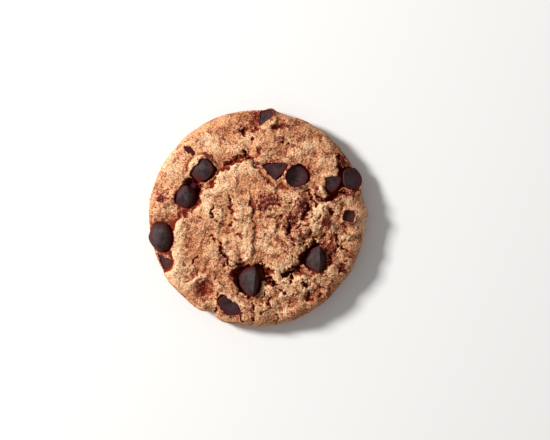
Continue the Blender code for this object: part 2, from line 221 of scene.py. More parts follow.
TOAST_PATCHES = (
    (-5, 35.6, 4.4, 2.8, 0.8), (9.8, 33.4, 4, 3, 1), (-9, 21.8, 6, 1.8, 0.6),
    (-21, -9, 4.4, 7, 0.55), (-24, -14, 4, 5, 0.35), (-15, -18, 6, 4, 0.6), (17, 2, 9, 7, 0.45),
    (17, -7, 7, 5, 0.5), (27, -4, 6, 7, 0.4), (11.5, -19, 4, 3, 0.5),
    (-19.4, -25.4, 3.6, 4.4, 0.9), (-17.8, -21.2, 2.8, 2.2, 1), (32, -15, 5, 8, 0.7),
    (24, -26, 8, 6, 0.75), (14.6, -34.4, 7, 2.8, 1), (24, -31, 4, 3, 0.7),
    (2.6, -28.2, 5, 4, 0.4), (-34.8, 1, 3.4, 2.2, 1), (30, 24, 5, 5, 0.8),
    (24, 20.2, 3, 3.4, 0.7), (5.4, 14.6, 3.6, 2, 0.4), (-24, -31, 8, 3.5, 0.5),
    (0, -3, 2.2, 9, 0.35), (16, 30, 6, 6, 0.45), (12, -26, 9, 4, 0.3), (12, -2, 6, 7, 0.3),
    (7.4, -13.8, 2.6, 3.2, 0.7), (-10.4, 26, 4.2, 3.2, 0.85), (-14.6, 9.2, 2.2, 2.4, 0.7),
    (-1.4, 20.2, 2.6, 1.7, 1),
)
STAIN_PATCHES = (
    (1.2, 5.4, 1.2, 3, 1), (4.6, 6.6, 2.6, 1.7, 0.7), (2.8, 4, 3.4, 1.8, 0.6),
    (15.4, 4.4, 1.9, 3, 0.95), (17.4, 2.2, 1.2, 2.2, 0.7), (11.8, 0.2, 2.2, 2.4, 0.9),
    (11, -3.8, 1.3, 2, 1), (12.4, -7.4, 1.4, 1.8, 0.6), (16.4, -5, 2.8, 2.2, 0.45),
    (25.4, 2, 1.5, 2.8, 1), (24.5, -1.4, 1.6, 2.2, 0.9), (29, -4.6, 2, 2, 0.35),
    (30.4, -6.4, 0.8, 0.8, 0.7), (31.4, -2.2, 0.9, 0.7, 0.7), (25.2, -8.4, 2, 2.8, 0.65),
    (16.2, -14, 1.3, 3.6, 0.9), (13.4, -18.4, 2.2, 1.4, 0.9), (30.2, -17.8, 1, 1.8, 0.8),
    (-26.6, 2, 2.2, 1.5, 1), (-24, 3.2, 1.4, 0.9, 0.7), (-21.4, 9.8, 1.8, 2.6, 0.9),
    (-22.8, 12.6, 2.4, 1.8, 1), (-33.8, 7, 2.6, 2.4, 0.8), (-0.6, 36.2, 2, 3.3, 1),
    (-5.2, 31, 1.2, 1.6, 0.95), (8.8, 32.8, 3, 1.5, 0.9), (-3.9, 22.8, 1.6, 1.6, 1),
    (-7.6, 20.8, 2.6, 1, 0.8), (-11, 19.6, 1.8, 0.9, 0.6), (1, 23.5, 1.4, 1.4, 0.8),
    (-1.6, 4.4, 0.9, 3.4, 0.85), (-19.6, -25.6, 2.4, 3, 1), (-18, -21.4, 1.9, 1.5, 0.7),
    (26.6, -11.6, 1.8, 3, 0.9), (20.7, 9.8, 1.2, 1.8, 0.8), (30.4, 20.8, 2.2, 2.8, 1),
    (-8.6, -20.4, 1.6, 3.4, 0.85), (-4.2, -28.2, 2, 1, 0.7), (3.4, -18.6, 1.6, 2.2, 0.8),
    (7.8, -24.2, 1.6, 1.4, 0.5), (9.4, -26.8, 0.8, 0.8, 0.6), (18.3, -27.8, 0.9, 1.3, 0.6),
    (16.8, -23.8, 1.6, 0.7, 0.6), (-9.4, -27.2, 1.2, 1.2, 0.45), (-3.2, -32, 1.4, 1.4, 0.4),
    (-1.6, -34.5, 0.9, 2.8, 0.5), (27, 7.6, 3.4, 1.2, 0.8), (31.6, 8.8, 3.2, 1.4, 1),
    (7.6, 6.8, 1.2, 2.4, 0.6), (-12.2, -12.4, 1.2, 3.4, 0.7), (-7.8, 0, 0.7, 1, 0.5),
    (-6.2, -6.4, 1, 1, 0.7), (-9.6, 4.6, 0.8, 3, 0.45), (-13.2, 7.4, 1, 1, 0.6),
    (-16, 12.2, 1.2, 0.7, 0.6), (8.8, 27.8, 1.8, 1.6, 0.7), (5.6, 25.2, 2, 0.7, 0.4),
    (14.2, 28.7, 0.8, 0.8, 0.45), (17.2, 34.2, 0.8, 0.8, 0.6), (-32.6, 14.8, 1.1, 1.2, 0.7),
    (-12.7, 28.5, 1.1, 0.8, 0.7), (-14.6, 24.6, 0.7, 0.6, 0.5), (25.8, 30.4, 1.6, 1.2, 0.6),
    (-27, -27.4, 1.6, 0.8, 0.6), (18.6, 17.4, 0.9, 2.6, 0.8), (-17.2, 21.4, 2.2, 1.3, 0.9),
    (-14.2, -29, 1, 2.6, 0.8),
)
ROUGH_PATCHES = (
    (18.5, -3, 13, 14, 0.75), (10, -26, 18, 9, 0.45), (10, 22, 14, 8, 0.2), (-20, 2, 9, 12, 0.2),
)
# Where the crust tore into long ridges.
TORN_PATCHES = (
    (-8, -2, 7, 16, 0.9), (-22, -8, 10, 14, 0.7),
)
TEAR_STRETCH = 0.24             # how much longer the ridges are than wide, as its reciprocal
TEAR_LEAN = 0.33                # how far the left ridges lean over for each step along Y
TEAR_LEAN_FROM = (4.0, 14.0)    # the lean starts this far left of the middle, and is full here

# ---------------------------------------------------------------- the chips

# A chip: its node, base radius and height, which way its tip points (tilt from straight up,
# heading from +X), its turn about its own axis, how much longer its base is along its own X, the
# corners of its outline, the direction of the first and how sharp they are, how far its tip has
# melted down to a dome, the share of its height that its soft base edge takes, how far its base
# is dished, how far the dough round it stands above its face, and which ways its pocket gapes.
Chip = namedtuple("Chip", "node radius height tilt heading turn stretch corners first sharp melt"
                          " soft dish sunk gapes", defaults=(0, 1, 0, 0, 0, 0.2, 0.1, 0, 0, ()))
CHIPS = (
    Chip("chip_top_rim", 3.9, 4.6, 150, 294, turn=54, corners=4, sharp=0.6, dish=0.1, sunk=0.3),
    Chip("chip_upper_left_outer", 4.1, 5.2, 168, 30, dish=-0.6, sunk=0.8,
         gapes=((1.3, -0.2), (-0.3, -1.2))),
    Chip("chip_upper_left_inner", 4, 7, 48, 80, melt=0.7, soft=0.14, gapes=((1.2, 1.6),)),
    Chip("chip_left_rim", 4.75, 5.1, 28, 190, turn=90, stretch=1.16, melt=1, soft=0.2,
         gapes=((0.7, -0.3),)),
    Chip("chip_left_rim_low", 3, 3.8, 150, 24, turn=66, stretch=1.35, corners=3, sharp=0.7,
         dish=0.1, sunk=0.4),
    Chip("chip_upper_middle", 3.9, 4.4, 177, 260, turn=80, stretch=1.45, corners=3, first=90,
         sharp=0.75, dish=0.15, sunk=0.6, gapes=((0.4, -0.4),)),
    Chip("chip_upper_right_inner", 4.15, 5.4, 170, 200, soft=0.14, dish=0.9, sunk=1.1,
         gapes=((0.9, 0.5),)),
    Chip("chip_right_outer", 3.8, 4.2, 170, 120, turn=35, corners=3, sharp=0.5, dish=0.2,
         sunk=0.3, gapes=((0.4, -1.8),)),
    Chip("chip_right_rim", 4.2, 4.6, 144, 203, dish=0.1, sunk=0.2, gapes=((-1.8, 0.4),)),
    Chip("chip_right_small", 2.7, 3, 170, 180, turn=55, corners=4, sharp=0.6, dish=0.3, sunk=0.9,
         gapes=((-0.2, 0.2),)),
    Chip("chip_lower_right", 5.2, 8.6, 60, 80, turn=17, corners=3, first=180, sharp=0.65,
         melt=0.4, soft=0.12, dish=0.1, gapes=((-1.5, 0.4),)),
    Chip("chip_bottom_middle", 5.2, 10.2, 62, 273, turn=-20, corners=3, first=180, sharp=0.7,
         melt=0.85, soft=0.4, dish=-1, gapes=((1.9, 0.8), (-1.8, 0.6))),
    Chip("chip_bottom_left", 3.6, 4, 170, 90, turn=310, stretch=1.4, corners=5, sharp=0.6,
         dish=0.1, sunk=0.3, gapes=((-0.4, 0.5),)),
)
FACE_UP = 120.0                 # chips tilted past this show their base
SHARP_POWERS = (1.8, 1.4)       # inner and outer power of a chip's section with a sharp tip
MELTED_POWERS = (2.2, 0.6)      # and with its tip melted down to a dome

# A lip of crust covers a chip on the left of a line of points.
Lip = namedtuple("Lip", "node points")
LIPS = (
    Lip("chip_top_rim", ((7.2, 37.6), (0.7, 33.1), (0.9, 39.8))),
    Lip("chip_upper_left_outer", ((-25, 15.8), (-19.6, 21.2))),
    Lip("chip_left_rim_low", ((-36.4, -12.3), (-30.3, -15.4), (-32.2, -18.9))),
    Lip("chip_right_outer", ((24.2, 11.4), (24, 14.3), (30.6, 15.3))),
    Lip("chip_bottom_middle", ((3.6, -20.8), (1.2, -23), (0.2, -28.6))),
    Lip("chip_bottom_left", ((-12.6, -26.6), (-5.6, -32.2))),
)

# A flake is a small piece of chocolate in the crust: (x, y, half length, half width, turn). The
# third is the lump that joins the two chips at the upper left.
FLAKES = (
    (-23.7, 23.8, 2.7, 1.15, -30), (-23, 22.6, 0.9, 0.5, -20), (-22.9, 12.6, 2.7, 1.5, -62),
    (-11.2, 20.2, 0.9, 0.5, 25), (22.4, 7.2, 0.9, 0.6, 10), (-6.2, -14.4, 0.9, 0.5, 20),
    (-33.5, 6, 0.5, 0.4, 0), (-32, 9, 0.5, 0.3, 50), (16.6, 5.6, 0.7, 0.5, 80),
    (6.1, 0.4, 0.5, 0.4, 15), (1, 3.4, 0.6, 0.4, 45),
)

# ---------------------------------------------------------------- the crust's patterns

# Layers of a pattern: (amount, size in mm, seed).
LINE_BENDS = ((0.8, 3.0, 80), (0.55, 1.2, 84))      # how ledges, cracks and stains waver
CRUMB_BENDS = ((0.9, 3.4, 20), (0.45, 1.3, 25))     # how lumps, chunks and pits waver
CRACK_CHANGES = ((0.9, 2.4, 51), (0.9, 0.9, 52))    # how a crack narrows and widens
BROAD_WAVES = ((0.60, 9.0, 11),)
WAVES = ((1.0, 4.4, 12),)
CHUNKS = ((0.75, 3.6, 34), (0.34, 1.9, 36), (0.16, 1.05, 38))
FINE_GRAIN = ((0.12, 1.3, 41), (0.14, 0.8, 42))
PIT_ROOTS = ((1.0, 1.5, 61),)
PIT_CLUSTERS = ((0.7, 0.8, 62), (0.9, 5.0, 60))
SEAM_AREAS = ((1.0, 4.0, 66),)
TORN_RIDGES = ((1.1, 4.2, 70), (0.5, 1.9, 71), (0.25, 0.9, 72))
RAGGED_EDGES = ((0.45, 1.7, 91), (0.2, 0.9, 92))    # how the edges of pockets waver
MOTTLE = ((1.0, 6.0, 95), (0.5, 3.0, 126), (0.25, 1.5, 157))
CHIP_SWELL = ((0.28, 3.4, 200), (0.07, 1.3, 300))

# How strong a pattern is: (everywhere, more where the crust is rough, more where it is torn).
WAVE_SHARES = (0.4, 0.7, 0.0)
LUMP_SHARES = (0.35, 0.55, -0.1)
FINE_SHARES = (0.25, 0.8, 0.0)
RIDGE_SHARES = (0.0, 0.0, 0.8)
PIT_SHARES = (0.2, 0.4, 0.0)
PIT_LEANINGS = (-0.55, 0.6, -0.1)       # added to the pits' pattern, so it changes how many show
SEAM_LEANINGS = (0.0, 0.5, -0.25)       # the same for the seams between chunks

CRACK_EVEN = 0.75               # mean share of its width that a crack has
CRACK_RANGE = (0.15, 1.3)       # and the least and most
CHUNK_LEAN = 1.2                # steepness of the chunks of crust
PUFF_SIZE = 3.0                 # size of the puffed lumps
PUFF_RISE = 0.25                # height of a lump above the crease beside it
PUFF_LEVEL = -0.06              # height of the creases
PIT_EDGE = (0.55, 0.95)         # where a pit's depth starts and ends to grow with the pattern
SEAM_EDGE = (0.1, 0.4)          # the same for the seams
SEAM_SIZE = 3.2                 # distance between the thin seams
SEAM_WIDTHS = (0.02, 0.13)      # where a seam's depth starts and ends to fade, in cells
SEAM_DEPTH = 0.8                # depth of a seam, as a share of a pit's
FAR = 99.0                      # further away than anything the cookie has


# ================================================================ noise

NOISE_GAIN = 1.7        # brings the noise's usual reach to about 1


def random_share(i, j, k, seed):
    """A fixed number from 0 to 1 for each corner of a lattice: its indices, multiplied by large
    odd numbers, added and shifted over each other within 32 bits."""
    mixed = (i * 374761393 + j * 668265263 + k * 1442695041 + seed * 974634777) & 0xFFFFFFFF
    mixed = ((mixed ^ (mixed >> 13)) * 1274126177) & 0xFFFFFFFF
    mixed = ((mixed ^ (mixed >> 16)) * 1181783497) & 0xFFFFFFFF
    return (mixed ^ (mixed >> 15)) / 2.0**32


def smooth_noise(points, size, seed):
    """Soft noise from about -1 to 1 with bumps of a given size: at each corner of a lattice a
    random slope, blended between the corners by 6t^5 - 15t^4 + 10t^3."""
    scaled = points / size
    cell = np.floor(scaled).astype(np.int64)
    inside = scaled - cell
    ease = inside**3 * (inside * (inside * 6.0 - 15.0) + 10.0)
    total = np.zeros(len(points))
    for corner in np.ndindex(2, 2, 2):
        i, j, k = (cell + corner).T
        weight = np.prod(np.where(corner, ease, 1.0 - ease), axis=1)
        away = inside - corner
        for axis in range(3):
            total += weight * away[:, axis] * (2.0 * random_share(i, j, k, seed + 7 * axis) - 1.0)
    return total * NOISE_GAIN


def scattered_spots(points, size, seed):
    """For points scattered one to a cell of a lattice: (a near cell's indices, the way to each
    place from its scattered point, in cells), for each of the 27 nearest cells in turn."""
    scaled = points / size
    cell = np.floor(scaled).astype(np.int64)
    for offset in np.ndindex(3, 3, 3):
        corner = cell + offset - 1
        spot = np.stack([random_share(*corner.T, seed + axis) for axis in range(3)], axis=1)
        yield corner.T, scaled - corner - spot


def seam_gaps(points, size, seed):
    """How much further the next nearest scattered point is than the nearest, in cells: about 0
    along the seams between their cells."""
    nearest = np.full(len(points), FAR)
    second = nearest
    for _, away in scattered_spots(points, size, seed):
        distance = np.linalg.norm(away, axis=1)
        second = np.minimum(second, np.maximum(nearest, distance))
        nearest = np.minimum(nearest, distance)
    return second - nearest


def broken_chunks(points, size, seed):
    """Chunks of crust that settled apart: around each scattered point the surface is its own
    small plane, a share of the size up or down and leaning by its own slopes."""
    nearest = np.full(len(points), FAR)
    lift = np.zeros(len(points))
    for (i, j, k), away in scattered_spots(points, size, seed):
        distance = np.linalg.norm(away, axis=1)
        slopes = [random_share(i, j, k, seed + 11 + axis) - 0.5 for axis in range(3)]
        plane = random_share(i, j, k, seed + 9) - 0.5
        plane += CHUNK_LEAN * np.sum(np.stack(slopes, axis=1) * away, axis=1)
        lift = np.where(distance < nearest, plane, lift)
        nearest = np.minimum(nearest, distance)
    return lift


def layered(pattern, points, layers, shift=0):
    """A pattern's layers added up, the seeds moved on by shift."""
    return sum(amount * pattern(points, size, seed + shift) for amount, size, seed in layers)


def soft_step(value, low, high):
    """0 below low, 1 above high, and 3t^2 - 2t^3 between them."""
    t = np.clip((value - low) / (high - low), 0.0, 1.0)
    return t * t * (3.0 - 2.0 * t)


def patches(x, y, table):
    """The strengths of soft ovals at each place, joined as overlapping shares."""
    bare = np.ones_like(x)
    for px, py, along, across, strength in table:
        bare *= 1.0 - strength * np.exp(-(((x - px) / along) ** 2) - ((y - py) / across) ** 2)
    return 1.0 - bare


# ================================================================ the dough

def outline_radius(angle):
    """Radius of the outline in a direction, in radians: a circle with bell-shaped lobes."""
    radius = np.full_like(angle, RADIUS)
    for direction, half_width, change in LOBES:
        away = (np.degrees(angle) - direction + 180.0) % 360.0 - 180.0
        radius += change * np.exp(-((away / half_width) ** 2))
    return radius


def round_points(radius, angle, height):
    """Points from their distance to the middle, their direction and their height."""
    across, along = radius * np.cos(angle), radius * np.sin(angle)
    return np.stack([across, along, np.broadcast_to(height, across.shape)], axis=-1)


OUTLINE_STEPS = 1440    # directions in which the outline is measured
ARCH_STEPS = 80         # points of the section from the middle of the top to the shoulder
ROLL_STEPS = 40         # and from the shoulder to the widest line


def outline_middle():
    """Where the middle of the plain outline is in the frame, from the dough's box."""
    angle = np.linspace(0.0, 2.0 * math.pi, OUTLINE_STEPS, endpoint=False)
    outline = round_points(outline_radius(angle), angle, 0.0)
    low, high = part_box("dough")
    middle = np.array((low + high) / 2) / MM - (outline.min(axis=0) + outline.max(axis=0)) / 2
    return middle * (1.0, 1.0, 0.0)


MIDDLE = outline_middle()


def dough_section():
    """The plain section from the middle of the top to the widest line: (run along it, inset
    from the outline, height). A flat arch drops by a power of the way out, then a quarter of an
    ellipse rolls over to the belly."""
    arch = np.linspace(0.0, 1.0, ARCH_STEPS)
    shoulder = CROWN - SHOULDER_DROP
    arch_in = RADIUS - (RADIUS - SHOULDER_IN) * arch
    arch_height = CROWN - SHOULDER_DROP * arch**ARCH_POWER
    roll = np.linspace(0.0, math.pi / 2, ROLL_STEPS)[1:]
    inset = np.concatenate([arch_in, SHOULDER_IN * (1.0 - np.sin(roll))])
    height = np.concatenate([arch_height, BELLY + (shoulder - BELLY) * np.cos(roll)])
    run = np.concatenate([[0.0], np.cumsum(np.hypot(np.diff(inset), np.diff(height)))])
    return run, inset, height


def square_to_disc(cells):
    """A square grid of points bent into a round sheet: (share of the radius, angle) for each.
    Rings of squares become rings of circles."""
    ticks = np.linspace(-1.0, 1.0, cells + 1)
    a, b = np.meshgrid(ticks, ticks)
    wide = np.abs(a) >= np.abs(b)
    longer = np.where(wide, a, b)
    share = np.divide(np.where(wide, b, a), longer, out=np.zeros_like(a), where=longer != 0.0)
    angle = np.where(wide, share * math.pi / 4, math.pi / 2 - share * math.pi / 4)
    angle = np.where(longer < 0.0, angle + math.pi, angle)
    return np.abs(longer).ravel(), (angle % (2 * math.pi)).ravel()


def grid_rim(cells):
    """Indices of a square grid's border, counter-clockwise."""
    across = cells + 1
    steps = np.arange(cells)
    right = steps * across + cells
    high = cells * across + cells - steps
    left = (cells - steps) * across
    return np.concatenate([steps, right, high, left])


def grid_triangles(cells):
    """Triangles of a square grid, each cell split along the way to the grid's middle."""
    across = cells + 1
    row, column = np.divmod(np.arange(cells * cells), cells)
    a = row * across + column
    b, c, d = a + 1, a + across + 1, a + across
    along = (row < cells / 2) == (column < cells / 2)
    first = np.where(along[:, None], np.stack([a, b, c], axis=1), np.stack([a, b, d], axis=1))
    second = np.where(along[:, None], np.stack([a, c, d], axis=1), np.stack([b, c, d], axis=1))
    return np.concatenate([first, second])


def band_triangles(outer, inner):
    """Triangles between two closed rings of indices, where the outer has as many points as the
    inner or twice as many. Seen with the outer ring nearer, they run counter-clockwise."""
    step = len(outer) // len(inner)
    following = np.roll(inner, -1)
    near, middle, far = outer[::step], np.roll(outer, -1)[::step], np.roll(outer, -step)[::step]
    if step == 1:
        return np.concatenate([np.stack([near, inner, following], axis=1),
                               np.stack([near, following, far], axis=1)])
    return np.concatenate([np.stack([near, inner, middle], axis=1),
                           np.stack([middle, inner, following], axis=1),
                           np.stack([middle, following, far], axis=1)])


def line_distance(x, y, points):
    """(distance, side, beyond) from a line of points: side is +1 on its left and -1 on its
    right, and beyond is how far past its ends a place lies, along it."""
    best = np.full(x.shape, np.inf)
    side = np.ones(x.shape)
    beyond = np.zeros(x.shape)
    last = len(points) - 2
    for index, ((ax, ay), (bx, by)) in enumerate(zip(points, points[1:])):
        dx, dy = bx - ax, by - ay
        length = math.hypot(dx, dy)
        free = ((x - ax) * dx + (y - ay) * dy) / length**2
        along = np.clip(free, 0.0, 1.0)
        away = np.hypot(x - ax - along * dx, y - ay - along * dy)
        nearer = away < best
        past = np.maximum(-free, 0.0) * (index == 0) + np.maximum(free - 1.0, 0.0) * (index == last)
        best = np.where(nearer, away, best)
        side = np.where(nearer, np.sign(dx * (y - ay) - dy * (x - ax)), side)
        beyond = np.where(nearer, past * length, beyond)
    return best, side, beyond


LEDGE_WIDTH = 0.32      # how wide the face of a ledge is
LEDGE_FADE = 2.2        # how far a ledge runs out past its ends


def broken_crust(x, y):
    """(lift, groove): how far ledges, cracks and hollows lift the top, and how deep in a crack
    a place is, from 0 to 1."""
    lift = np.zeros_like(x)
    groove = np.zeros_like(x)
    for ledge in LEDGES:
        away, side, beyond = line_distance(x, y, ledge.points)
        high = ledge.rise * np.exp(-((away / ledge.reach) ** 2))
        low = -ledge.sink * np.exp(-((away / ledge.hollow) ** 2))
        step = 0.5 + 0.5 * np.tanh(side * away / LEDGE_WIDTH)
        lift += (low + (high - low) * step) * np.exp(-((beyond / LEDGE_FADE) ** 2))
    spots = np.stack([x, y, np.zeros_like(x)], axis=1)
    uneven = np.clip(CRACK_EVEN + layered(smooth_noise, spots, CRACK_CHANGES), *CRACK_RANGE)
    for points, width, depth in CRACKS:
        away, _, _ = line_distance(x, y, points)
        share = np.exp(-((away / (width * uneven)) ** 2)) * np.minimum(uneven, 1.0)
        lift -= depth * share
        groove = np.maximum(groove, share)
    for hx, hy, radius, depth in HOLLOWS:
        lift -= depth * np.exp(-(((x - hx) ** 2 + (y - hy) ** 2) / radius**2))
    return lift, groove


def crumb_relief(points, rough, torn):
    """The crust's own unevenness in millimetres: (lift, pits). Soft waves, puffed lumps with
    creases between them, broken chunks, grains, ragged pits, and ridges where the crust tore."""
    def strength(shares):
        return shares[0] + shares[1] * rough + shares[2] * torn

    bends = [layered(smooth_noise, points, CRUMB_BENDS, axis) for axis in range(3)]
    bent = points + np.stack(bends, axis=1)
    holes = layered(smooth_noise, bent, PIT_ROOTS) + layered(smooth_noise, points, PIT_CLUSTERS)
    pits = soft_step(holes + strength(PIT_LEANINGS), *PIT_EDGE)
    areas = layered(smooth_noise, points, SEAM_AREAS)
    parted = soft_step(areas + strength(SEAM_LEANINGS), *SEAM_EDGE)
    seams = (1.0 - soft_step(seam_gaps(bent, SEAM_SIZE, 64), *SEAM_WIDTHS)) * parted
    pits = np.maximum(pits, SEAM_DEPTH * seams)

    lift = layered(smooth_noise, points, BROAD_WAVES)
    lift += strength(WAVE_SHARES) * layered(smooth_noise, points, WAVES)
    lumps = PUFF_RISE * np.abs(smooth_noise(bent, PUFF_SIZE, 31)) + PUFF_LEVEL
    lift += strength(LUMP_SHARES) * (lumps + layered(broken_chunks, bent, CHUNKS))
    lift += strength(FINE_SHARES) * layered(smooth_noise, points, FINE_GRAIN)
    drawn = bent * (1.0, TEAR_STRETCH, 1.0)
    drawn[:, 0] -= TEAR_LEAN * soft_step(-points[:, 0], *TEAR_LEAN_FROM) * points[:, 1]
    lift += strength(RIDGE_SHARES) * layered(smooth_noise, drawn, TORN_RIDGES)
    return lift - strength(PIT_SHARES) * pits, pits


# ================================================================ the chips' shape

def chip_rotation(chip):
    """The turn, as a matrix, that points a chip's tip along its tilt and heading."""
    heading = Quaternion((0.0, 0.0, 1.0), math.radians(chip.heading))
    tilt = Quaternion((0.0, 1.0, 0.0), math.radians(chip.tilt))
    turn = Quaternion((0.0, 0.0, 1.0), math.radians(chip.turn))
    return np.array((heading @ tilt @ turn).to_matrix())


def chip_outline(chip, turn):
    """Share of the radius in a direction: round, or a polygon with soft corners."""
    if not chip.corners:
        return np.ones_like(turn)
    wedge = 2.0 * math.pi / chip.corners
    away = (turn - math.radians(chip.first)) % wedge - wedge / 2
    return chip.sharp * math.cos(wedge / 2) / np.cos(away) + 1.0 - chip.sharp


def chip_profile(chip, level):
    """Share of the radius at a share of the height: (1 - t^a)^b, drawn in at the soft edge."""
    inner, outer = (a + (b - a) * chip.melt for a, b in zip(SHARP_POWERS, MELTED_POWERS))
    share = (1.0 - np.clip(level, 0.0, 1.0) ** inner) ** outer
    edge = np.clip(level / chip.soft, 0.0, 1.0)
    return share * (1.0 - chip.soft + chip.soft * np.sqrt(1.0 - (1.0 - edge) ** 2))


EDGE_RINGS = 5          # rings over a chip's soft base edge
TIP_LEVEL = 0.985       # share of the height at which the last ring lies, before the pole
BOX_SEGMENTS = 48       # faces round a chip when its box is measured


def chip_surface(chip, segments):
    """Points of a chip about the middle of its base, tip up, as rings of a grid: out over the
    flat base, round its edge and up the flank, with a pole at each end. The base has a sixth as
    many rings as there are faces round the chip, and the flank a third."""
    base = np.linspace(0.0, 1.0, segments // 6 + 1)[1:]
    levels = np.concatenate([chip.soft * np.linspace(0.0, 1.0, EDGE_RINGS + 1)[1:] ** 2,
                             np.linspace(chip.soft, TIP_LEVEL, segments // 3)[1:]])
    share = np.concatenate([(1.0 - chip.soft) * base, chip_profile(chip, levels)])
    height = np.concatenate([chip.dish * (1.0 - base**2) ** 2, chip.height * levels])
    turn = np.linspace(0.0, 2.0 * math.pi, segments, endpoint=False)
    out = chip.radius * share[:, None] * chip_outline(chip, turn)[None, :]
    rings = round_points(out, turn, height[:, None]) * (chip.stretch, 1.0, 1.0)
    poles = np.array([(0.0, 0.0, chip.dish), (0.0, 0.0, chip.height)])
    return np.concatenate([rings.reshape(-1, 3), poles]), len(share)


def chip_base(chip):
    """Where the middle of a chip's base is: its turned surface is centred on its solid's box."""
    points, _ = chip_surface(chip, BOX_SEGMENTS)
    turned = points @ chip_rotation(chip).T
    low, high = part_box(chip.node)
    box_middle = np.array((low + high) / 2) / MM - MIDDLE
    return box_middle - (turned.min(axis=0) + turned.max(axis=0)) / 2


def chip_clearance(chip, base, points):
    """How far outside a chip places are: the most of the way past its flank, below its base and
    past its tip, in its own axes."""
    local = (points - base) @ chip_rotation(chip)
    turn = np.arctan2(local[:, 1], local[:, 0] / chip.stretch)
    out = np.hypot(local[:, 0] / chip.stretch, local[:, 1])
    share = chip_outline(chip, turn) * chip_profile(chip, local[:, 2] / chip.height)
    flank = out - chip.radius * share
    return np.maximum(flank, np.maximum(-local[:, 2], local[:, 2] - chip.height))


POCKET_GAP = 0.25       # space under a chip
POCKET_LAP = 0.2        # how far the dough laps over a chip's edge
MELT_AND_REFLECTION_REACH = 1.6        # how far in from its outline a chip's edge takes the melted colour: melted chocolate, and a painted warm reflection of the dough
SUNK_SHADE_DEPTHS = (-1.2, 2.4)   # depths below the crust where a chip starts to take the melted colour as painted shade, and takes it fully
FACE_RAGGED = 0.6       # how much the ragged edges' pattern moves the crust over a chip's face
POCKET_RAGGED = 0.25    # and the edge of its pocket
GAPE_RAGGED = 0.8       # and the edge of the pocket's gape
GAPE_DEPTH = 2.6        # how deep a pocket gapes beside its chip
GAPE_WALL = 0.5         # how wide the gaping pocket's wall is
SEAT_FADE = 0.9         # how far past a chip the dough follows its face
PROBE_TOP = 15.0        # highest level at which a chip's outline from above is measured
PROBE_STEP = 0.3        # step of those levels
PROBE_REACH = 3.0       # how far past a chip its outline is measured


def chip_pocket(chip, points):
    """(distance, floor) of a chip as seen from above: how far outside its outline each place is,
    less than 0 over the chip, and the height of its underside there."""
    base = chip_base(chip)
    distance = np.full(len(points), FAR)
    floor = np.full(len(points), FAR)
    away = np.hypot(points[:, 0] - base[0], points[:, 1] - base[1])
    near = away < chip.height + chip.radius + PROBE_REACH
    local = points[near].copy()
    seen = np.full(len(local), FAR)
    under = np.full(len(local), FAR)
    for level in np.arange(PROBE_TOP, 0.0, -PROBE_STEP):
        local[:, 2] = level
        clear = chip_clearance(chip, base, local)
        seen = np.minimum(seen, clear)
        under = np.where(clear < 0.0, level, under)
    distance[near] = seen
    floor[near] = under
    return distance, floor


def under_lip(chip, x, y):
    """How far under a lip of crust each place is, less than 0 where nothing covers the chip."""
    under = np.full(x.shape, -FAR)
    for lip in LIPS:
        if lip.node == chip.node:
            away, side, _ = line_distance(x, y, lip.points)
            under = side * away
    return under


def face_plane(chip, points):
    """Height of the plane of a chip's base over each place."""
    base = chip_base(chip)
    facing = -chip_rotation(chip)[:, 2]
    return base[2] - (points[:, :2] - base[:2]) @ facing[:2] / facing[2]


# ================================================================ the dough's surface

TOP_CELLS = 256         # cells across the top sheet
SIDE_ROWS = 14          # rows of faces from the widest line down to the base
BASE_CELLS = 128        # cells across the base, half of the top's
BASE_SHEET_IN = 0.4     # how far the base sheet ends inside the last row of the side


def free_height(x, y):
    """Height of the dough's top with its broken forms, before crumb and pockets: the plain
    section at the place's share of the outline's radius, plus what breaks lift it."""
    run, inset, height = dough_section()
    share = np.hypot(x, y) / outline_radius(np.arctan2(y, x) % (2.0 * math.pi))
    plain = np.interp(share, 1.0 - inset / RADIUS, height)
    return plain + broken_crust(x, y)[0]


def dough_sheets():
    """The closed plain form: (points, outward directions, triangles, count of top points).
    A round sheet over the top, rows of the side and a round sheet for the base."""
    run, inset, height = dough_section()
    share, angle = square_to_disc(TOP_CELLS)
    along = share * run[-1]
    outline = outline_radius(angle)
    radius = (RADIUS - np.interp(along, run, inset)) / RADIUS * outline
    lean = np.arctan2(-np.gradient(height, run), -np.gradient(inset, run))
    tilt = np.interp(along, run, lean)
    points = [round_points(radius, angle, np.interp(along, run, height))]
    normals = [round_points(np.sin(tilt), angle, np.cos(tilt))]
    faces = [grid_triangles(TOP_CELLS)]
    ring = grid_rim(TOP_CELLS)
    rim_angle, rim_outline = angle[ring], outline[ring]
    count = len(angle)
    for row in range(1, SIDE_ROWS + 1):
        turn = row / SIDE_ROWS * math.pi / 2
        radius = rim_outline - BASE_IN * (1.0 - math.cos(turn))
        points.append(round_points(radius, rim_angle, BELLY * (1.0 - math.sin(turn))))
        normals.append(round_points(math.cos(turn), rim_angle, -math.sin(turn)))
        below = np.arange(count, count + len(ring))
        faces.append(band_triangles(ring, below))
        ring = below
        count += len(ring)
    share, angle = square_to_disc(BASE_CELLS)
    points.append(round_points(share * (outline_radius(angle) - BASE_IN - BASE_SHEET_IN), angle, 0.0))
    normals.append(np.tile((0.0, 0.0, -1.0), (len(angle), 1)))
    faces.append(band_triangles(ring, grid_rim(BASE_CELLS) + count))
    faces.append(grid_triangles(BASE_CELLS)[:, ::-1] + count)
    return np.concatenate(points), np.concatenate(normals), np.concatenate(faces), len(points[0])


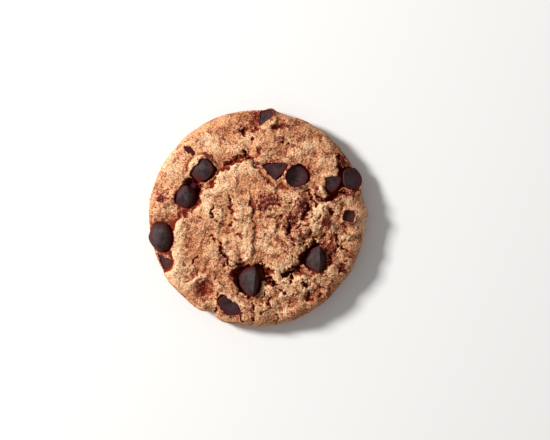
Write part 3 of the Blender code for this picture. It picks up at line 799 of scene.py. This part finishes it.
TONE_REACHES = (3, 9, 20)       # cells to the near, middle and wide neighbours of a place
LEAST_CRUST = 0.02              # keeps the mean height finite where pockets are all round
SIDE_RELIEF = 0.35              # share of the crumb's relief on the side
BASE_RELIEF = 0.25              # and on the base
STAIN_BEND = 1.6                # how far the stains' edges waver, as a share of the bends
CHIP_REACH = 6.0                # how far from a chip the crust takes notice of it
RING_FADE = 0.9                 # how far from a chip the stain round it fades
RING_STRENGTH = 0.5             # how strong that stain is
MOTTLE_SHARE = 0.30             # how much the mottle makes the crust paler or more toasted
BASE_BROWNS = (0.6, 1.0)        # shares of the radius over which the underside browns outwards
RIM_TOAST = 0.35                # how toasted the rim is at least, and the underside's middle
RIM_FADE = (0.3, 1.0)           # where on the way out to the rim that starts, and is full
SIDE_TOAST = 0.45               # how much browner the side is than the underside's middle
PIT_HOLLOW = 0.5                # how much of a hollow's painted shade a pit takes
HOLLOW_DEPTHS = (0.7, 3.0)      # depths below near and middle neighbours at which a place takes a hollow's full painted shade
MOST_BY_MIDDLE = 0.35           # the most that the middle neighbours add to that
CREST_HEIGHT = 0.35             # height above near neighbours at which a crest's painted highlight is full
FACING_DOWN = -0.5              # outward directions lower than this are the base's

# How a tone changes with each millimetre above the neighbours, as painted light and shade, raised crust
# paler and lower crust more toasted: (by near, by middle, least, most) and (by wide, least, most).
PALE_RELIEF_SHADING = ((0.9, 0.5, -0.8, 0.4), (0.4, -0.3, 0.3))
TOAST_RELIEF_SHADING = ((0.7, 0.8, -0.8, 0.3), (0.4, -0.4, 0.3))


def blurred(grid, reach):
    """A grid averaged over a square of cells that reaches so many cells each way."""
    for _ in range(2):
        padded = np.pad(grid, ((reach + 1, reach), (0, 0)), mode="edge")
        sums = np.cumsum(padded, axis=0)
        grid = ((sums[2 * reach + 1:] - sums[:-2 * reach - 1]) / (2 * reach + 1)).T
    return grid


def above_neighbours(level, crust, reach):
    """How far each place of a grid stands above the mean of the crust round it, pockets aside."""
    mean = blurred(level * crust, reach) / np.maximum(blurred(crust, reach), LEAST_CRUST)
    return ((level - mean) * crust).ravel()


def painted_relief_shading(near, middle, wide, change):
    """Painted light and shade from the relief: how much a tone changes where the crust stands above or
    below its neighbours.
    """
    (by_near, by_middle, least, most), (by_wide, wide_least, wide_most) = change
    close = np.clip(by_near * near + by_middle * middle, least, most)
    return close + np.clip(by_wide * wide, wide_least, wide_most)


def seat_chips(points, plain, top, stain):
    """Opens each chip's pocket in the points, as it lies, and stains the crust round it: which
    points lie in a pocket. Both arrays are changed in place."""
    x, y = plain[:, 0], plain[:, 1]
    ragged = layered(smooth_noise, plain, RAGGED_EDGES)
    pocket = np.zeros(len(plain), dtype=bool)
    for chip in CHIPS:
        distance, floor = chip_pocket(chip, points)
        near = (distance < CHIP_REACH) & top
        outside = np.maximum(distance, 0.0)
        if chip.tilt > FACE_UP:
            follow = np.exp(-((outside / SEAT_FADE) ** 2)) * near
            seat = face_plane(chip, points) + chip.sunk + FACE_RAGGED * ragged
            points[:, 2] += follow * (seat - points[:, 2])
        free = near & (under_lip(chip, x, y) + FACE_RAGGED * ragged < 0.0)
        bare = free & (distance + POCKET_LAP + POCKET_RAGGED * ragged < 0.0)
        for gape in chip.gapes:
            beside, _ = chip_pocket(chip, points - (*gape, 0.0))
            inward = -beside - GAPE_RAGGED * ragged
            open_share = soft_step(inward, 0.0, GAPE_WALL) * (free & ~bare)
            points[:, 2] -= GAPE_DEPTH * open_share
            pocket |= open_share > 0.5
        points[:, 2] = np.where(bare, np.minimum(points[:, 2], floor - POCKET_GAP), points[:, 2])
        pocket |= bare
        ring = RING_STRENGTH * np.exp(-((outside / RING_FADE) ** 2))
        stain[:] = np.maximum(stain, ring * free)
    return pocket


def crust_tones(points, plain, top, fade, pocket, groove, pits):
    """How pale, toasted, hollow and raised each point is, by its place and by how far it stands above
    its neighbours near by, further off and all round. Pale and toasted also carry painted light and
    shade: raised crust is painted paler, as a painted highlight, and lower crust more toasted, as
    painted shade, each within limits. Hollow is the mask of the finish's painted shade in pits, cracks,
    pockets and low crust, and crest_highlight that of its painted highlight on raised crust."""
    x, y = plain[:, 0], plain[:, 1]
    level = (points[top, 2] - plain[top, 2]).reshape(TOP_CELLS + 1, TOP_CELLS + 1)
    crust = (~pocket[top]).reshape(level.shape).astype(float)
    near, middle, wide = (above_neighbours(level, crust, reach) for reach in TONE_REACHES)
    # Hollow tone: the mask of the finish's painted shade in low crust, pits, cracks and pockets.
    sunk = np.clip(-near / HOLLOW_DEPTHS[0], 0.0, 1.0)
    sunk += np.clip(-middle / HOLLOW_DEPTHS[1], 0.0, MOST_BY_MIDDLE)
    hollow = PIT_HOLLOW * pits
    hollow[top] = np.maximum(hollow[top], sunk)
    hollow = np.clip(np.maximum(hollow, groove * top), 0.0, 1.0)
    hollow[pocket] = 1.0
    crest_highlight = np.zeros(len(plain))
    crest_highlight[top] = np.clip(near / CREST_HEIGHT, 0.0, 1.0)

    mottle = MOTTLE_SHARE * layered(smooth_noise, plain, MOTTLE)
    pale = patches(x, y, PALE_PATCHES) + mottle
    toast = patches(x, y, TOAST_PATCHES) - mottle
    # Painted light and shade from the relief: raised crust paler, lower crust more toasted.
    pale[top] += painted_relief_shading(near, middle, wide, PALE_RELIEF_SHADING)
    toast[top] -= painted_relief_shading(near, middle, wide, TOAST_RELIEF_SHADING)
    edge = soft_step(np.hypot(x, y) / RADIUS, *BASE_BROWNS)
    toast += RIM_TOAST * soft_step(1.0 - fade, *RIM_FADE)
    toast[~top] = (RIM_TOAST + SIDE_TOAST * edge - mottle)[~top]
    pale, toast = np.clip(pale, 0.0, 1.0) * top, np.clip(toast, 0.0, 1.0)
    return {"pale": pale, "toast": toast, "hollow": hollow, "crest_highlight": crest_highlight}


@lru_cache
def dough_surface():
    """The finished dough: (points, triangles, tones), where tones are a share from 0 to 1 for each
    point: pale, toasted, hollow, crest_highlight and stained. Pale and toasted also carry painted light
    and shade, hollow is the mask of painted shade and crest_highlight of a painted highlight."""
    plain, normals, faces, top_count = dough_sheets()
    top = np.arange(len(plain)) < top_count
    x, y = plain[:, 0], plain[:, 1]
    share, _ = square_to_disc(TOP_CELLS)
    fade = np.zeros(len(plain))
    fade[top] = np.clip((1.0 - share) * dough_section()[0][-1] / RELIEF_IN, 0.0, 1.0)

    torn = patches(x, y, TORN_PATCHES) * top
    across, along = (layered(smooth_noise, plain, LINE_BENDS, axis) for axis in range(2))
    broken, groove = broken_crust(x + across, y + along)
    crumb, pits = crumb_relief(plain, patches(x, y, ROUGH_PATCHES), torn)
    points = plain.copy()
    points[:, 2] += np.where(top, broken * np.sqrt(fade), 0.0)
    strength = np.where(top, SIDE_RELIEF + (1.0 - SIDE_RELIEF) * fade, SIDE_RELIEF)
    strength = np.where(normals[:, 2] < FACING_DOWN, BASE_RELIEF, strength)
    points += normals * (crumb * strength)[:, None]

    stain = patches(x + STAIN_BEND * across, y + STAIN_BEND * along, STAIN_PATCHES) * top
    pocket = seat_chips(points, plain, top, stain)
    points[:, 2] = np.maximum(points[:, 2], 0.0)
    tones = crust_tones(points, plain, top, fade, pocket, groove, pits)
    return points, faces, {**tones, "stain": stain}


# ================================================================ making pieces

def make_piece(name, points, faces, material, tones):
    """A piece from arrays: points in millimetres about the outline's middle and triangles as
    rows of three indices, with its tones as point attributes. It rides on the cookie."""
    mesh = bpy.data.meshes.new(name)
    mesh.vertices.add(len(points))
    mesh.vertices.foreach_set("co", ((points + MIDDLE) * MM).astype(np.float32).ravel())
    mesh.loops.add(faces.size)
    mesh.loops.foreach_set("vertex_index", faces.astype(np.int32).ravel())
    mesh.polygons.add(len(faces))
    mesh.polygons.foreach_set("loop_start", np.arange(0, faces.size, 3, dtype=np.int32))
    mesh.update(calc_edges=True)
    mesh.validate()
    mesh.shade_smooth()
    for tone, values in tones.items():
        attribute = mesh.attributes.new(tone, "FLOAT", "POINT")
        attribute.data.foreach_set("value", values.astype(np.float32))
    mesh.materials.append(material)
    piece = bpy.data.objects.new(name, mesh)
    bpy.context.scene.collection.objects.link(piece)
    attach(piece, "root")
    return piece


def ring_triangles(rings, segments):
    """Triangles of rings stacked along a grid, the last two points being the poles."""
    first = np.arange(rings * segments).reshape(rings, segments)
    bands = [band_triangles(first[row + 1], first[row]) for row in range(rings - 1)]
    low_pole, high_pole = rings * segments, rings * segments + 1
    following = np.roll(first, -1, axis=1)
    low = np.stack([following[0], first[0], np.full(segments, low_pole)], axis=1)
    high = np.stack([first[-1], following[-1], np.full(segments, high_pole)], axis=1)
    return np.concatenate(bands + [low, high])


def unit_ball(segments, rings):
    """Points of a ball of radius 1: rings at equal steps from the bottom up, the poles last."""
    rise = np.linspace(-math.pi / 2, math.pi / 2, rings + 2)[1:-1, None]
    turn = np.linspace(0.0, 2.0 * math.pi, segments, endpoint=False)
    ball = round_points(np.cos(rise), turn, np.sin(rise))
    return np.concatenate([ball.reshape(-1, 3), [(0.0, 0.0, -1.0), (0.0, 0.0, 1.0)]])


OWN_NOISE = 9.7         # how far apart two lumps' own parts of the noise lie, in radii
KNOB_SIZE = 1.0         # size of the noise, in radii
KNOBS = 0.55            # how much it changes a lump's radius
KNOB_SPREAD = 1.1       # how much the ball is drawn out where its noise is read


def scattered_lumps(places, halves, turns, segments, rings, seed):
    """Uneven lumps in one mesh: balls drawn out to their half sizes along X, Y and Z, their radius
    changed by noise, turned about Z by their own turns and set at their places."""
    ball = unit_ball(segments, rings)
    spots = ball[None] * KNOB_SPREAD + np.arange(len(places))[:, None, None] * OWN_NOISE
    knobs = smooth_noise(spots.reshape(-1, 3), KNOB_SIZE, seed).reshape(len(places), -1)
    local = ball[None] * halves[:, None, :] * (1.0 + KNOBS * knobs)[:, :, None]
    across, along = np.cos(turns)[:, None], np.sin(turns)[:, None]
    points = np.stack([local[:, :, 0] * across - local[:, :, 1] * along,
                       local[:, :, 0] * along + local[:, :, 1] * across, local[:, :, 2]], axis=2)
    points += places[:, None, :]
    faces = ring_triangles(rings, segments)[None] + (np.arange(len(places)) * len(ball))[:, None, None]
    return points.reshape(-1, 3), faces.reshape(-1, 3)


def places_on_crust(count, chance, seed):
    """Indices of places drawn on the dough's top, each as likely as its chance says."""
    draw = np.random.default_rng(seed)
    return draw.choice(len(chance), size=count, replace=False, p=chance / chance.sum())


# ================================================================ finishes

class Wire:
    """A shader socket in a Python sum: each operator adds the Math node that works it out."""

    def __init__(self, finish, socket):
        self.finish = finish
        self.socket = socket

    def __add__(self, other):
        return self.finish.math("ADD", self, other)

    def __sub__(self, other):
        return self.finish.math("SUBTRACT", self, other)

    def __rsub__(self, other):
        return self.finish.math("SUBTRACT", other, self)

    def __mul__(self, other):
        return self.finish.math("MULTIPLY", self, other)

    __radd__ = __add__
    __rmul__ = __mul__


class Finish:
    """A material and its nodes."""

    def __init__(self, name):
        self.material = bpy.data.materials.new(name)
        self.material.use_nodes = True
        self.tree = self.material.node_tree
        self.shader = self.tree.nodes["Principled BSDF"]

    def node(self, kind, settings, inputs, output=0):
        """Adds a node of a kind: its settings first, then its inputs by name or number, each a
        value or a Wire. Gives the numbered or named output."""
        node = self.tree.nodes.new(kind)
        for name, value in settings.items():
            setattr(node, name, value)
        for name, value in inputs.items():
            self.feed(node.inputs[name], value)
        return Wire(self, node.outputs[output])

    def feed(self, socket, value):
        if isinstance(value, Wire):
            self.tree.links.new(value.socket, socket)
        else:
            socket.default_value = value

    def math(self, operation, a, b):
        return self.node("ShaderNodeMath", {"operation": operation}, {0: a, 1: b})

    def place(self):
        return self.node("ShaderNodeTexCoord", {}, {}, "Object")

    def tone(self, name):
        return self.node("ShaderNodeAttribute", {"attribute_name": name}, {}, "Fac")

    def noise(self, size, detail=2.0, roughness=0.5):
        """Noise from 0 to 1 with bumps of a size in millimetres."""
        inputs = {"Vector": self.place(), "Scale": 1.0 / (size * MM), "Detail": detail,
                  "Roughness": roughness}
        return self.node("ShaderNodeTexNoise", {}, inputs, "Fac")

    def rise(self, value, low, high):
        """0 below low, 1 above high, with a soft rise between."""
        inputs = {"Value": value, "From Min": low, "From Max": high}
        return self.node("ShaderNodeMapRange", {"interpolation_type": "SMOOTHSTEP"}, inputs, "Result")

    def blend(self, colour, other, share):
        inputs = {0: share, 6: as_colour(colour), 7: as_colour(other)}
        return self.node("ShaderNodeMix", {"data_type": "RGBA"}, inputs, 2)

    def bump(self, height, distance):
        """A bump of a distance in millimetres into the shader's normal."""
        inputs = {"Height": height, "Distance": distance * MM, "Strength": 1.0}
        self.feed(self.shader.inputs["Normal"], self.node("ShaderNodeBump", {}, inputs, "Normal"))

    def set(self, **values):
        """Feeds the shader's own sockets, named with _ for spaces."""
        for name, value in values.items():
            self.feed(self.shader.inputs[name.replace("_", " ")], value)


def as_colour(value):
    return value if isinstance(value, Wire) else (*value, 1.0)


def baked_finish(settings):
    """Baked dough: golden crumb, pale or toasted by place, red-brown where chocolate melted into it,
    with fine grain. Painted light and shade come through the tones: paler raised crust and a painted
    highlight on crests, more toasted low crust, and the crevice colour as painted shade in hollows. The
    factors say how strongly each tone and each noise around its mean of a half pulls a colour in."""
    finish = Finish("baked_dough")
    pale, toast, stain = finish.tone("pale"), finish.tone("toast"), finish.tone("stain")
    hollow, crest_highlight = finish.tone("hollow"), finish.tone("crest_highlight")
    patchy = finish.noise(2.2, detail=3.0, roughness=0.6)
    blotch = finish.noise(1.4, detail=3.0, roughness=0.65)
    mottle = finish.noise(0.65, detail=3.0, roughness=0.75)
    grain = finish.noise(0.40, roughness=0.7)
    speckle = (grain - 0.5) * (finish.rise(finish.noise(4.0), 0.35, 0.65) * 3.2 + 2.8)
    speckle = (speckle + (mottle - 0.5) * 2.2) * (1.0 - pale * 0.4)
    # Painted light: pale brightens raised crust and crest_highlight adds a painted highlight on crests;
    # toast darkens low crust as painted shade.
    lightness = pale * 0.8 + crest_highlight * 0.15 + (patchy - 0.5) * 0.6 + speckle
    browning = toast * 0.85 + (patchy - 0.5) * 0.3 - speckle
    stained = finish.rise(stain + (blotch - 0.5) * 2.4 - (grain - 0.5) * 1.2, 0.08, 0.54)
    smears = finish.rise(stain + (blotch - 0.5) * 3.0 - (grain - 0.5) * 1.8, 0.52, 0.84)
    # Painted shade: the crevice colour in hollows, pits, cracks and pockets.
    sunk = finish.rise(hollow + (grain - 0.5) * 0.5, 0.12, 0.66)
    clusters = (finish.noise(3.0) - 0.5) * 0.8 + toast * 0.06 - pale * 0.08
    flecks = finish.rise(finish.noise(0.6, roughness=0.7) + clusters, 0.58, 0.64)
    layers = ((settings.pale, lightness), (settings.toasted, browning),
              (settings.stained, stained * 0.9), (settings.smeared, smears * 0.9),
              (settings.crevice_shade_and_speck, sunk), (settings.fleck, flecks * 0.8),
              (settings.crevice_shade_and_speck, (0.46 - grain) * 1.4))
    colour = settings.golden
    for other, share in layers:
        colour = finish.blend(colour, other, share)
    finish.set(Base_Color=colour, Roughness=0.78 + grain * 0.2, Specular_IOR_Level=0.02)
    finish.bump(mottle + grain - flecks * 0.6, 0.12)
    return finish.material


CHIP_GLOSS = 0.18       # specular level of the chips
BIT_GLOSS = 0.04        # and of small bits, smeared with crumb


def chocolate_finish(settings, name, gloss):
    """Dark chocolate: brown with a grey bloom in soft patches, reddish by its melted tone, and a satin
    surface. On the chips that tone is melted chocolate with a painted warm reflection at their edges,
    and painted shade where they lie deep below the crust."""
    finish = Finish(name)
    cloud = finish.noise(2.4, detail=3.0, roughness=0.6)
    grain = finish.noise(0.5, roughness=0.6)
    bloom = finish.rise(cloud, 0.30, 0.70)
    colour = finish.blend(settings.dark, settings.bloom, bloom * 0.9 + (grain - 0.5) * 0.5)
    # Melted tone: also painted shade and a painted warm reflection on the chips.
    melted = finish.rise(finish.tone("melted") + (cloud - 0.5) * 2.0, 0.35, 1.0)
    colour = finish.blend(colour, settings.melted, melted * 0.9)
    roughness = settings.roughness + (cloud - 0.5) * 0.25
    finish.set(Base_Color=colour, Roughness=roughness, Specular_IOR_Level=gloss)
    finish.bump(cloud + grain * 0.35, 0.10)
    return finish.material


# ================================================================ settings

def colour_property(name, description, default):
    return bpy.props.FloatVectorProperty(name=name, description=description, subtype="COLOR", size=3,
                                         min=0.0, max=1.0, default=default)


def length_property(name, description, default):
    return bpy.props.FloatProperty(name=name, description=description, unit="LENGTH",
                                   default=default)


def count_property(name, description, default, least):
    return bpy.props.IntProperty(name=name, description=description, default=default, min=least)


class CookieDoughSettings(bpy.types.PropertyGroup):
    golden: colour_property("Golden", "Plain baked crumb", (0.65, 0.275, 0.118))
    # Pale is also a painted highlight on raised crust and crests.
    pale: colour_property("Pale", "Floury, least baked crust and crests", (0.89, 0.60, 0.355))
    # Toasted is also painted shade on low crust.
    toasted: colour_property("Toasted", "Most baked crust", (0.42, 0.130, 0.055))
    stained: colour_property("Stained", "Crumb that melted chocolate has run into", (0.28, 0.044, 0.029))
    smeared: colour_property("Smeared", "Melted chocolate in the crumb", (0.055, 0.008, 0.008))
    fleck: colour_property("Fleck", "Specks of sugar burnt in the crust", (0.16, 0.024, 0.010))
    # Crevice colour: painted shade at the bottom of pits, cracks and pockets, and also the colour of
    # dark specks in the grain.
    crevice_shade_and_speck: colour_property("Crevice", "Bottom of pits and cracks", (0.17, 0.018, 0.007))


class CookieChipSettings(bpy.types.PropertyGroup):
    segments: count_property("Segments", "Faces round a chip", 72, 12)
    dark: colour_property("Dark", "Chocolate without bloom", (0.018, 0.006, 0.007))
    bloom: colour_property("Bloom", "Grey bloom on the chocolate", (0.070, 0.046, 0.045))
    # Melted colour: melted chocolate, and on the chips also painted shade deep below the crust and a
    # painted warm reflection at their edges.
    melted: colour_property("Melted", "Chocolate melted at a chip's edge", (0.065, 0.008, 0.009))
    roughness: bpy.props.FloatProperty(name="Roughness", description="Mean roughness of the chocolate",
                                       subtype="FACTOR", default=0.64, min=0.0, max=1.0)


class CookieBitSettings(bpy.types.PropertyGroup):
    count: count_property("Specks", "Specks of chocolate in stained crumb", 90, 0)
    smallest: length_property("Smallest speck", "Radius of the smallest speck", 0.12 * MM)
    largest: length_property("Largest speck", "Radius of the largest speck", 0.32 * MM)


class CookieCrumbSettings(bpy.types.PropertyGroup):
    count: count_property("Crumbs", "Loose grains on the crust", 1200, 0)
    smallest: length_property("Smallest", "Radius of the smallest grain", 0.10 * MM)
    largest: length_property("Largest", "Radius of the largest grain", 0.32 * MM)


class CookieStageSettings(bpy.types.PropertyGroup):
    floor: colour_property("Floor", "Pale floor", (0.86, 0.85, 0.83))
    view_width: length_property("View width", "Width of what the camera sees", 0.1945)
    camera_height: length_property("Camera height", "Height above the table", 0.8)
    key_power: bpy.props.FloatProperty(name="Key light", description="Power of the softbox",
                                       unit="POWER", default=20.0)
    fill: bpy.props.FloatProperty(name="Fill", description="Strength of the light from all round",
                                  default=0.32)


# ================================================================ operators

class COOKIE_OT_dough(bpy.types.Operator):
    """Make the baked dough with its ledges, cracks, pits and pockets"""
    bl_idname = "cookie.dough"
    bl_label = "Dough"

    def execute(self, context):
        points, faces, tones = dough_surface()
        material = baked_finish(context.scene.cookie_dough)
        piece = make_piece("baked_body", points, faces, material, tones)
        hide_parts("dough")
        return {"FINISHED"}


class COOKIE_OT_chips(bpy.types.Operator):
    """Make the chocolate chips in their pockets"""
    bl_idname = "cookie.chips"
    bl_label = "Chips"

    def execute(self, context):
        settings = context.scene.cookie_chips
        material = chocolate_finish(settings, "dark_chocolate", CHIP_GLOSS)
        for index, chip in enumerate(CHIPS):
            points, rings = chip_surface(chip, settings.segments)
            swell = layered(smooth_noise, points, CHIP_SWELL, index)
            points *= 1.0 + (swell / chip.radius)[:, None]
            points = points @ chip_rotation(chip).T + chip_base(chip)
            faces = ring_triangles(rings, settings.segments)
            inside, _ = chip_pocket(chip, points)
            # Melted tone: melted chocolate with a painted warm reflection near the chip's outline seen
            # from above, and painted shade where the chip lies below the crust.
            sunk = free_height(points[:, 0], points[:, 1]) - points[:, 2]
            edge = np.exp(-((inside / MELT_AND_REFLECTION_REACH) ** 2))
            tones = {"melted": np.maximum(edge, soft_step(sunk, *SUNK_SHADE_DEPTHS))}
            piece = make_piece(chip.node + "_drop", points, faces, material, tones)
            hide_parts(chip.node)
        return {"FINISHED"}


FLAKE_FACES = (14, 8)           # faces round a flake, and its rings
GRAIN_FACES = (6, 3)            # the same for specks and grains of crumb


def random_lumps(chosen, settings, power, shares, squash, seed):
    """Small lumps at places of the crust. Their sizes run from the smallest to the largest by a
    power of an even spread, each half size is its own share of that, and they are squashed along
    Z. The noise's seed follows that of the draws."""
    crust = dough_surface()[0]
    draw = np.random.default_rng(seed)
    spread = draw.uniform(0.0, 1.0, len(chosen)) ** power
    sizes = (settings.smallest + (settings.largest - settings.smallest) * spread) / MM
    halves = sizes[:, None] * draw.uniform(*shares, (len(chosen), 3)) * (1.0, 1.0, squash)
    turns = draw.uniform(0.0, 2.0 * math.pi, len(chosen))
    return scattered_lumps(crust[chosen], halves, turns, *GRAIN_FACES, seed + 1)


FLAKE_THICKNESS = 0.4           # half thickness of a flake, as a share of its half width
STAINED_ENOUGH = 0.35           # specks lie where the stain is stronger than this
SPARE_CHANCE = 1e-9             # and hardly ever where it is weaker
NOT_SUNK = 0.9                  # how hollow a place with a speck may be
OPEN_CRUST = 0.6                # how hollow a place with a crumb may be
PLAIN_CHANCE = 0.25             # how likely a crumb is on smooth crust, against 1 more on rough
ALL_MELTED = 2.0                # the melted tone of small bits, past its full effect


class COOKIE_OT_bits(bpy.types.Operator):
    """Make the small flakes and specks of chocolate in the crust"""
    bl_idname = "cookie.bits"
    bl_label = "Chocolate bits"

    def execute(self, context):
        settings = context.scene.cookie_bits
        crust, _, tones = dough_surface()
        flakes = np.array(FLAKES)
        below = FAR * (crust[:, 2] < BELLY)
        nearest = [np.argmin(np.hypot(crust[:, 0] - x, crust[:, 1] - y) + below)
                   for x, y in flakes[:, :2]]
        halves = np.stack([flakes[:, 2], flakes[:, 3], FLAKE_THICKNESS * flakes[:, 3]], axis=1)
        turns = np.radians(flakes[:, 4])
        large, large_faces = scattered_lumps(crust[nearest], halves, turns, *FLAKE_FACES, 401)
        chance = np.clip(tones["stain"] - STAINED_ENOUGH, 0.0, 1.0) * (tones["hollow"] < NOT_SUNK)
        chosen = places_on_crust(settings.count, chance + SPARE_CHANCE * tones["stain"], 402)
        small, small_faces = random_lumps(chosen, settings, 1.0, (0.6, 1.2), 0.7, 403)
        points = np.concatenate([large, small])
        faces = np.concatenate([large_faces, small_faces + len(large)])
        material = chocolate_finish(context.scene.cookie_chips, "melted_chocolate", BIT_GLOSS)
        tones = {"melted": np.full(len(points), ALL_MELTED)}
        make_piece("chocolate_bits", points, faces, material, tones)
        return {"FINISHED"}


class COOKIE_OT_crumbs(bpy.types.Operator):
    """Make the loose grains of crumb on the crust"""
    bl_idname = "cookie.crumbs"
    bl_label = "Crumbs"

    def execute(self, context):
        settings = context.scene.cookie_crumbs
        crust, _, tones = dough_surface()
        rough = patches(crust[:, 0], crust[:, 1], ROUGH_PATCHES)
        on_top = (crust[:, 2] > BELLY) & (tones["hollow"] < OPEN_CRUST)
        chosen = places_on_crust(settings.count, (PLAIN_CHANCE + rough) * on_top, 501)
        points, faces = random_lumps(chosen, settings, 2.0, (0.65, 1.25), 0.8, 502)
        shared = len(points) // settings.count
        lump_tones = {name: np.repeat(values[chosen], shared) for name, values in tones.items()}
        material = bpy.data.materials["baked_dough"]
        make_piece("crumb_grains", points, faces, material, lump_tones)
        return {"FINISHED"}


class COOKIE_OT_stage(bpy.types.Operator):
    """Make the floor, the light and the camera straight above the cookie"""
    bl_idname = "cookie.stage"
    bl_label = "Stage"

    def execute(self, context):
        settings = context.scene.cookie_stage
        make_floor(settings)
        make_lights(settings)
        make_camera(settings)
        return {"FINISHED"}


FLOOR_REACH = 1.5               # metres from the middle to the floor's edge
KEY_DIRECTION = (-0.84, 0.36)   # where the softbox stands, in plan
KEY_ELEVATION = 37.0            # degrees above the table
KEY_DISTANCE = 1.2              # metres
KEY_SIZE = 0.24                 # metres
SENSOR = 36.0                   # width of the camera's sensor, millimetres
NEAREST_SEEN = 0.05             # metres from the camera
VIEW_OFFSET = (6.15, -0.57)     # middle of the view from the outline's middle


def make_floor(settings):
    finish = Finish("pale_floor")
    finish.set(Base_Color=(*settings.floor, 1.0), Roughness=0.9, Specular_IOR_Level=0.1)
    mesh = bpy.data.meshes.new("floor")
    corners = ((-1.0, -1.0), (1.0, -1.0), (1.0, 1.0), (-1.0, 1.0))
    points = [(x * FLOOR_REACH, y * FLOOR_REACH, 0.0) for x, y in corners]
    mesh.from_pydata(points, [], [(0, 1, 2, 3)])
    mesh.materials.append(finish.material)
    floor = bpy.data.objects.new("floor", mesh)
    bpy.context.scene.collection.objects.link(floor)
    floor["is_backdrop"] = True


def make_lights(settings):
    """A softbox high on the left, and even white light from all round."""
    lamp = bpy.data.lights.new("key", "AREA")
    lamp.shape = "SQUARE"
    lamp.size = KEY_SIZE
    lamp.energy = settings.key_power
    key = bpy.data.objects.new("key", lamp)
    rise = math.radians(KEY_ELEVATION)
    plan = Vector(KEY_DIRECTION).normalized() * math.cos(rise)
    direction = Vector((plan.x, plan.y, math.sin(rise)))
    key.location = direction * KEY_DISTANCE
    key.rotation_euler = direction.to_track_quat("Z", "Y").to_euler()
    bpy.context.scene.collection.objects.link(key)
    world = bpy.data.worlds.new("studio")
    world.use_nodes = True
    light = world.node_tree.nodes["Background"].inputs
    light["Color"].default_value = (1.0, 1.0, 1.0, 1.0)
    light["Strength"].default_value = settings.fill
    bpy.context.scene.world = world
    bpy.context.scene.view_settings.view_transform = "Standard"


def make_camera(settings):
    """A camera straight above, its view as wide as the setting at the cookie's highest point."""
    lens = bpy.data.cameras.new("camera")
    lens.sensor_width = SENSOR
    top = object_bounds()[1][2]
    lens.lens = SENSOR * (settings.camera_height - top) / settings.view_width
    lens.clip_start = NEAREST_SEEN
    camera = bpy.data.objects.new("camera", lens)
    spot = (MIDDLE[:2] + VIEW_OFFSET) * MM
    camera.location = (spot[0], spot[1], settings.camera_height)
    bpy.context.scene.collection.objects.link(camera)
    bpy.context.scene.camera = camera


class COOKIE_PT_panel(bpy.types.Panel):
    """The cookie's pieces, in the order they are made"""
    bl_idname = "COOKIE_PT_panel"
    bl_label = "Chocolate Chip Cookie"
    bl_space_type = "VIEW_3D"
    bl_region_type = "UI"
    bl_category = "Cookie"

    def draw(self, context):
        for step in STEPS:
            self.layout.operator(step.bl_idname)
        for name, group in SETTINGS.items():
            for prop in group.__annotations__:
                self.layout.prop(getattr(context.scene, name), prop)


SETTINGS = {
    "cookie_dough": CookieDoughSettings,
    "cookie_chips": CookieChipSettings,
    "cookie_bits": CookieBitSettings,
    "cookie_crumbs": CookieCrumbSettings,
    "cookie_stage": CookieStageSettings,
}
STEPS = (COOKIE_OT_dough, COOKIE_OT_chips, COOKIE_OT_bits, COOKIE_OT_crumbs, COOKIE_OT_stage)


def register():
    for name, group in SETTINGS.items():
        bpy.utils.register_class(group)
        setattr(bpy.types.Scene, name, bpy.props.PointerProperty(type=group))
    for cls in (*STEPS, COOKIE_PT_panel):
        bpy.utils.register_class(cls)


def unregister():
    for cls in reversed((*STEPS, COOKIE_PT_panel)):
        bpy.utils.unregister_class(cls)
    for name, group in reversed(SETTINGS.items()):
        delattr(bpy.types.Scene, name)
        bpy.utils.unregister_class(group)


def main():
    register()
    bpy.ops.cookie.dough()
    bpy.ops.cookie.chips()
    bpy.ops.cookie.bits()
    bpy.ops.cookie.crumbs()
    bpy.ops.cookie.stage()


if __name__ == "__main__":
    main()
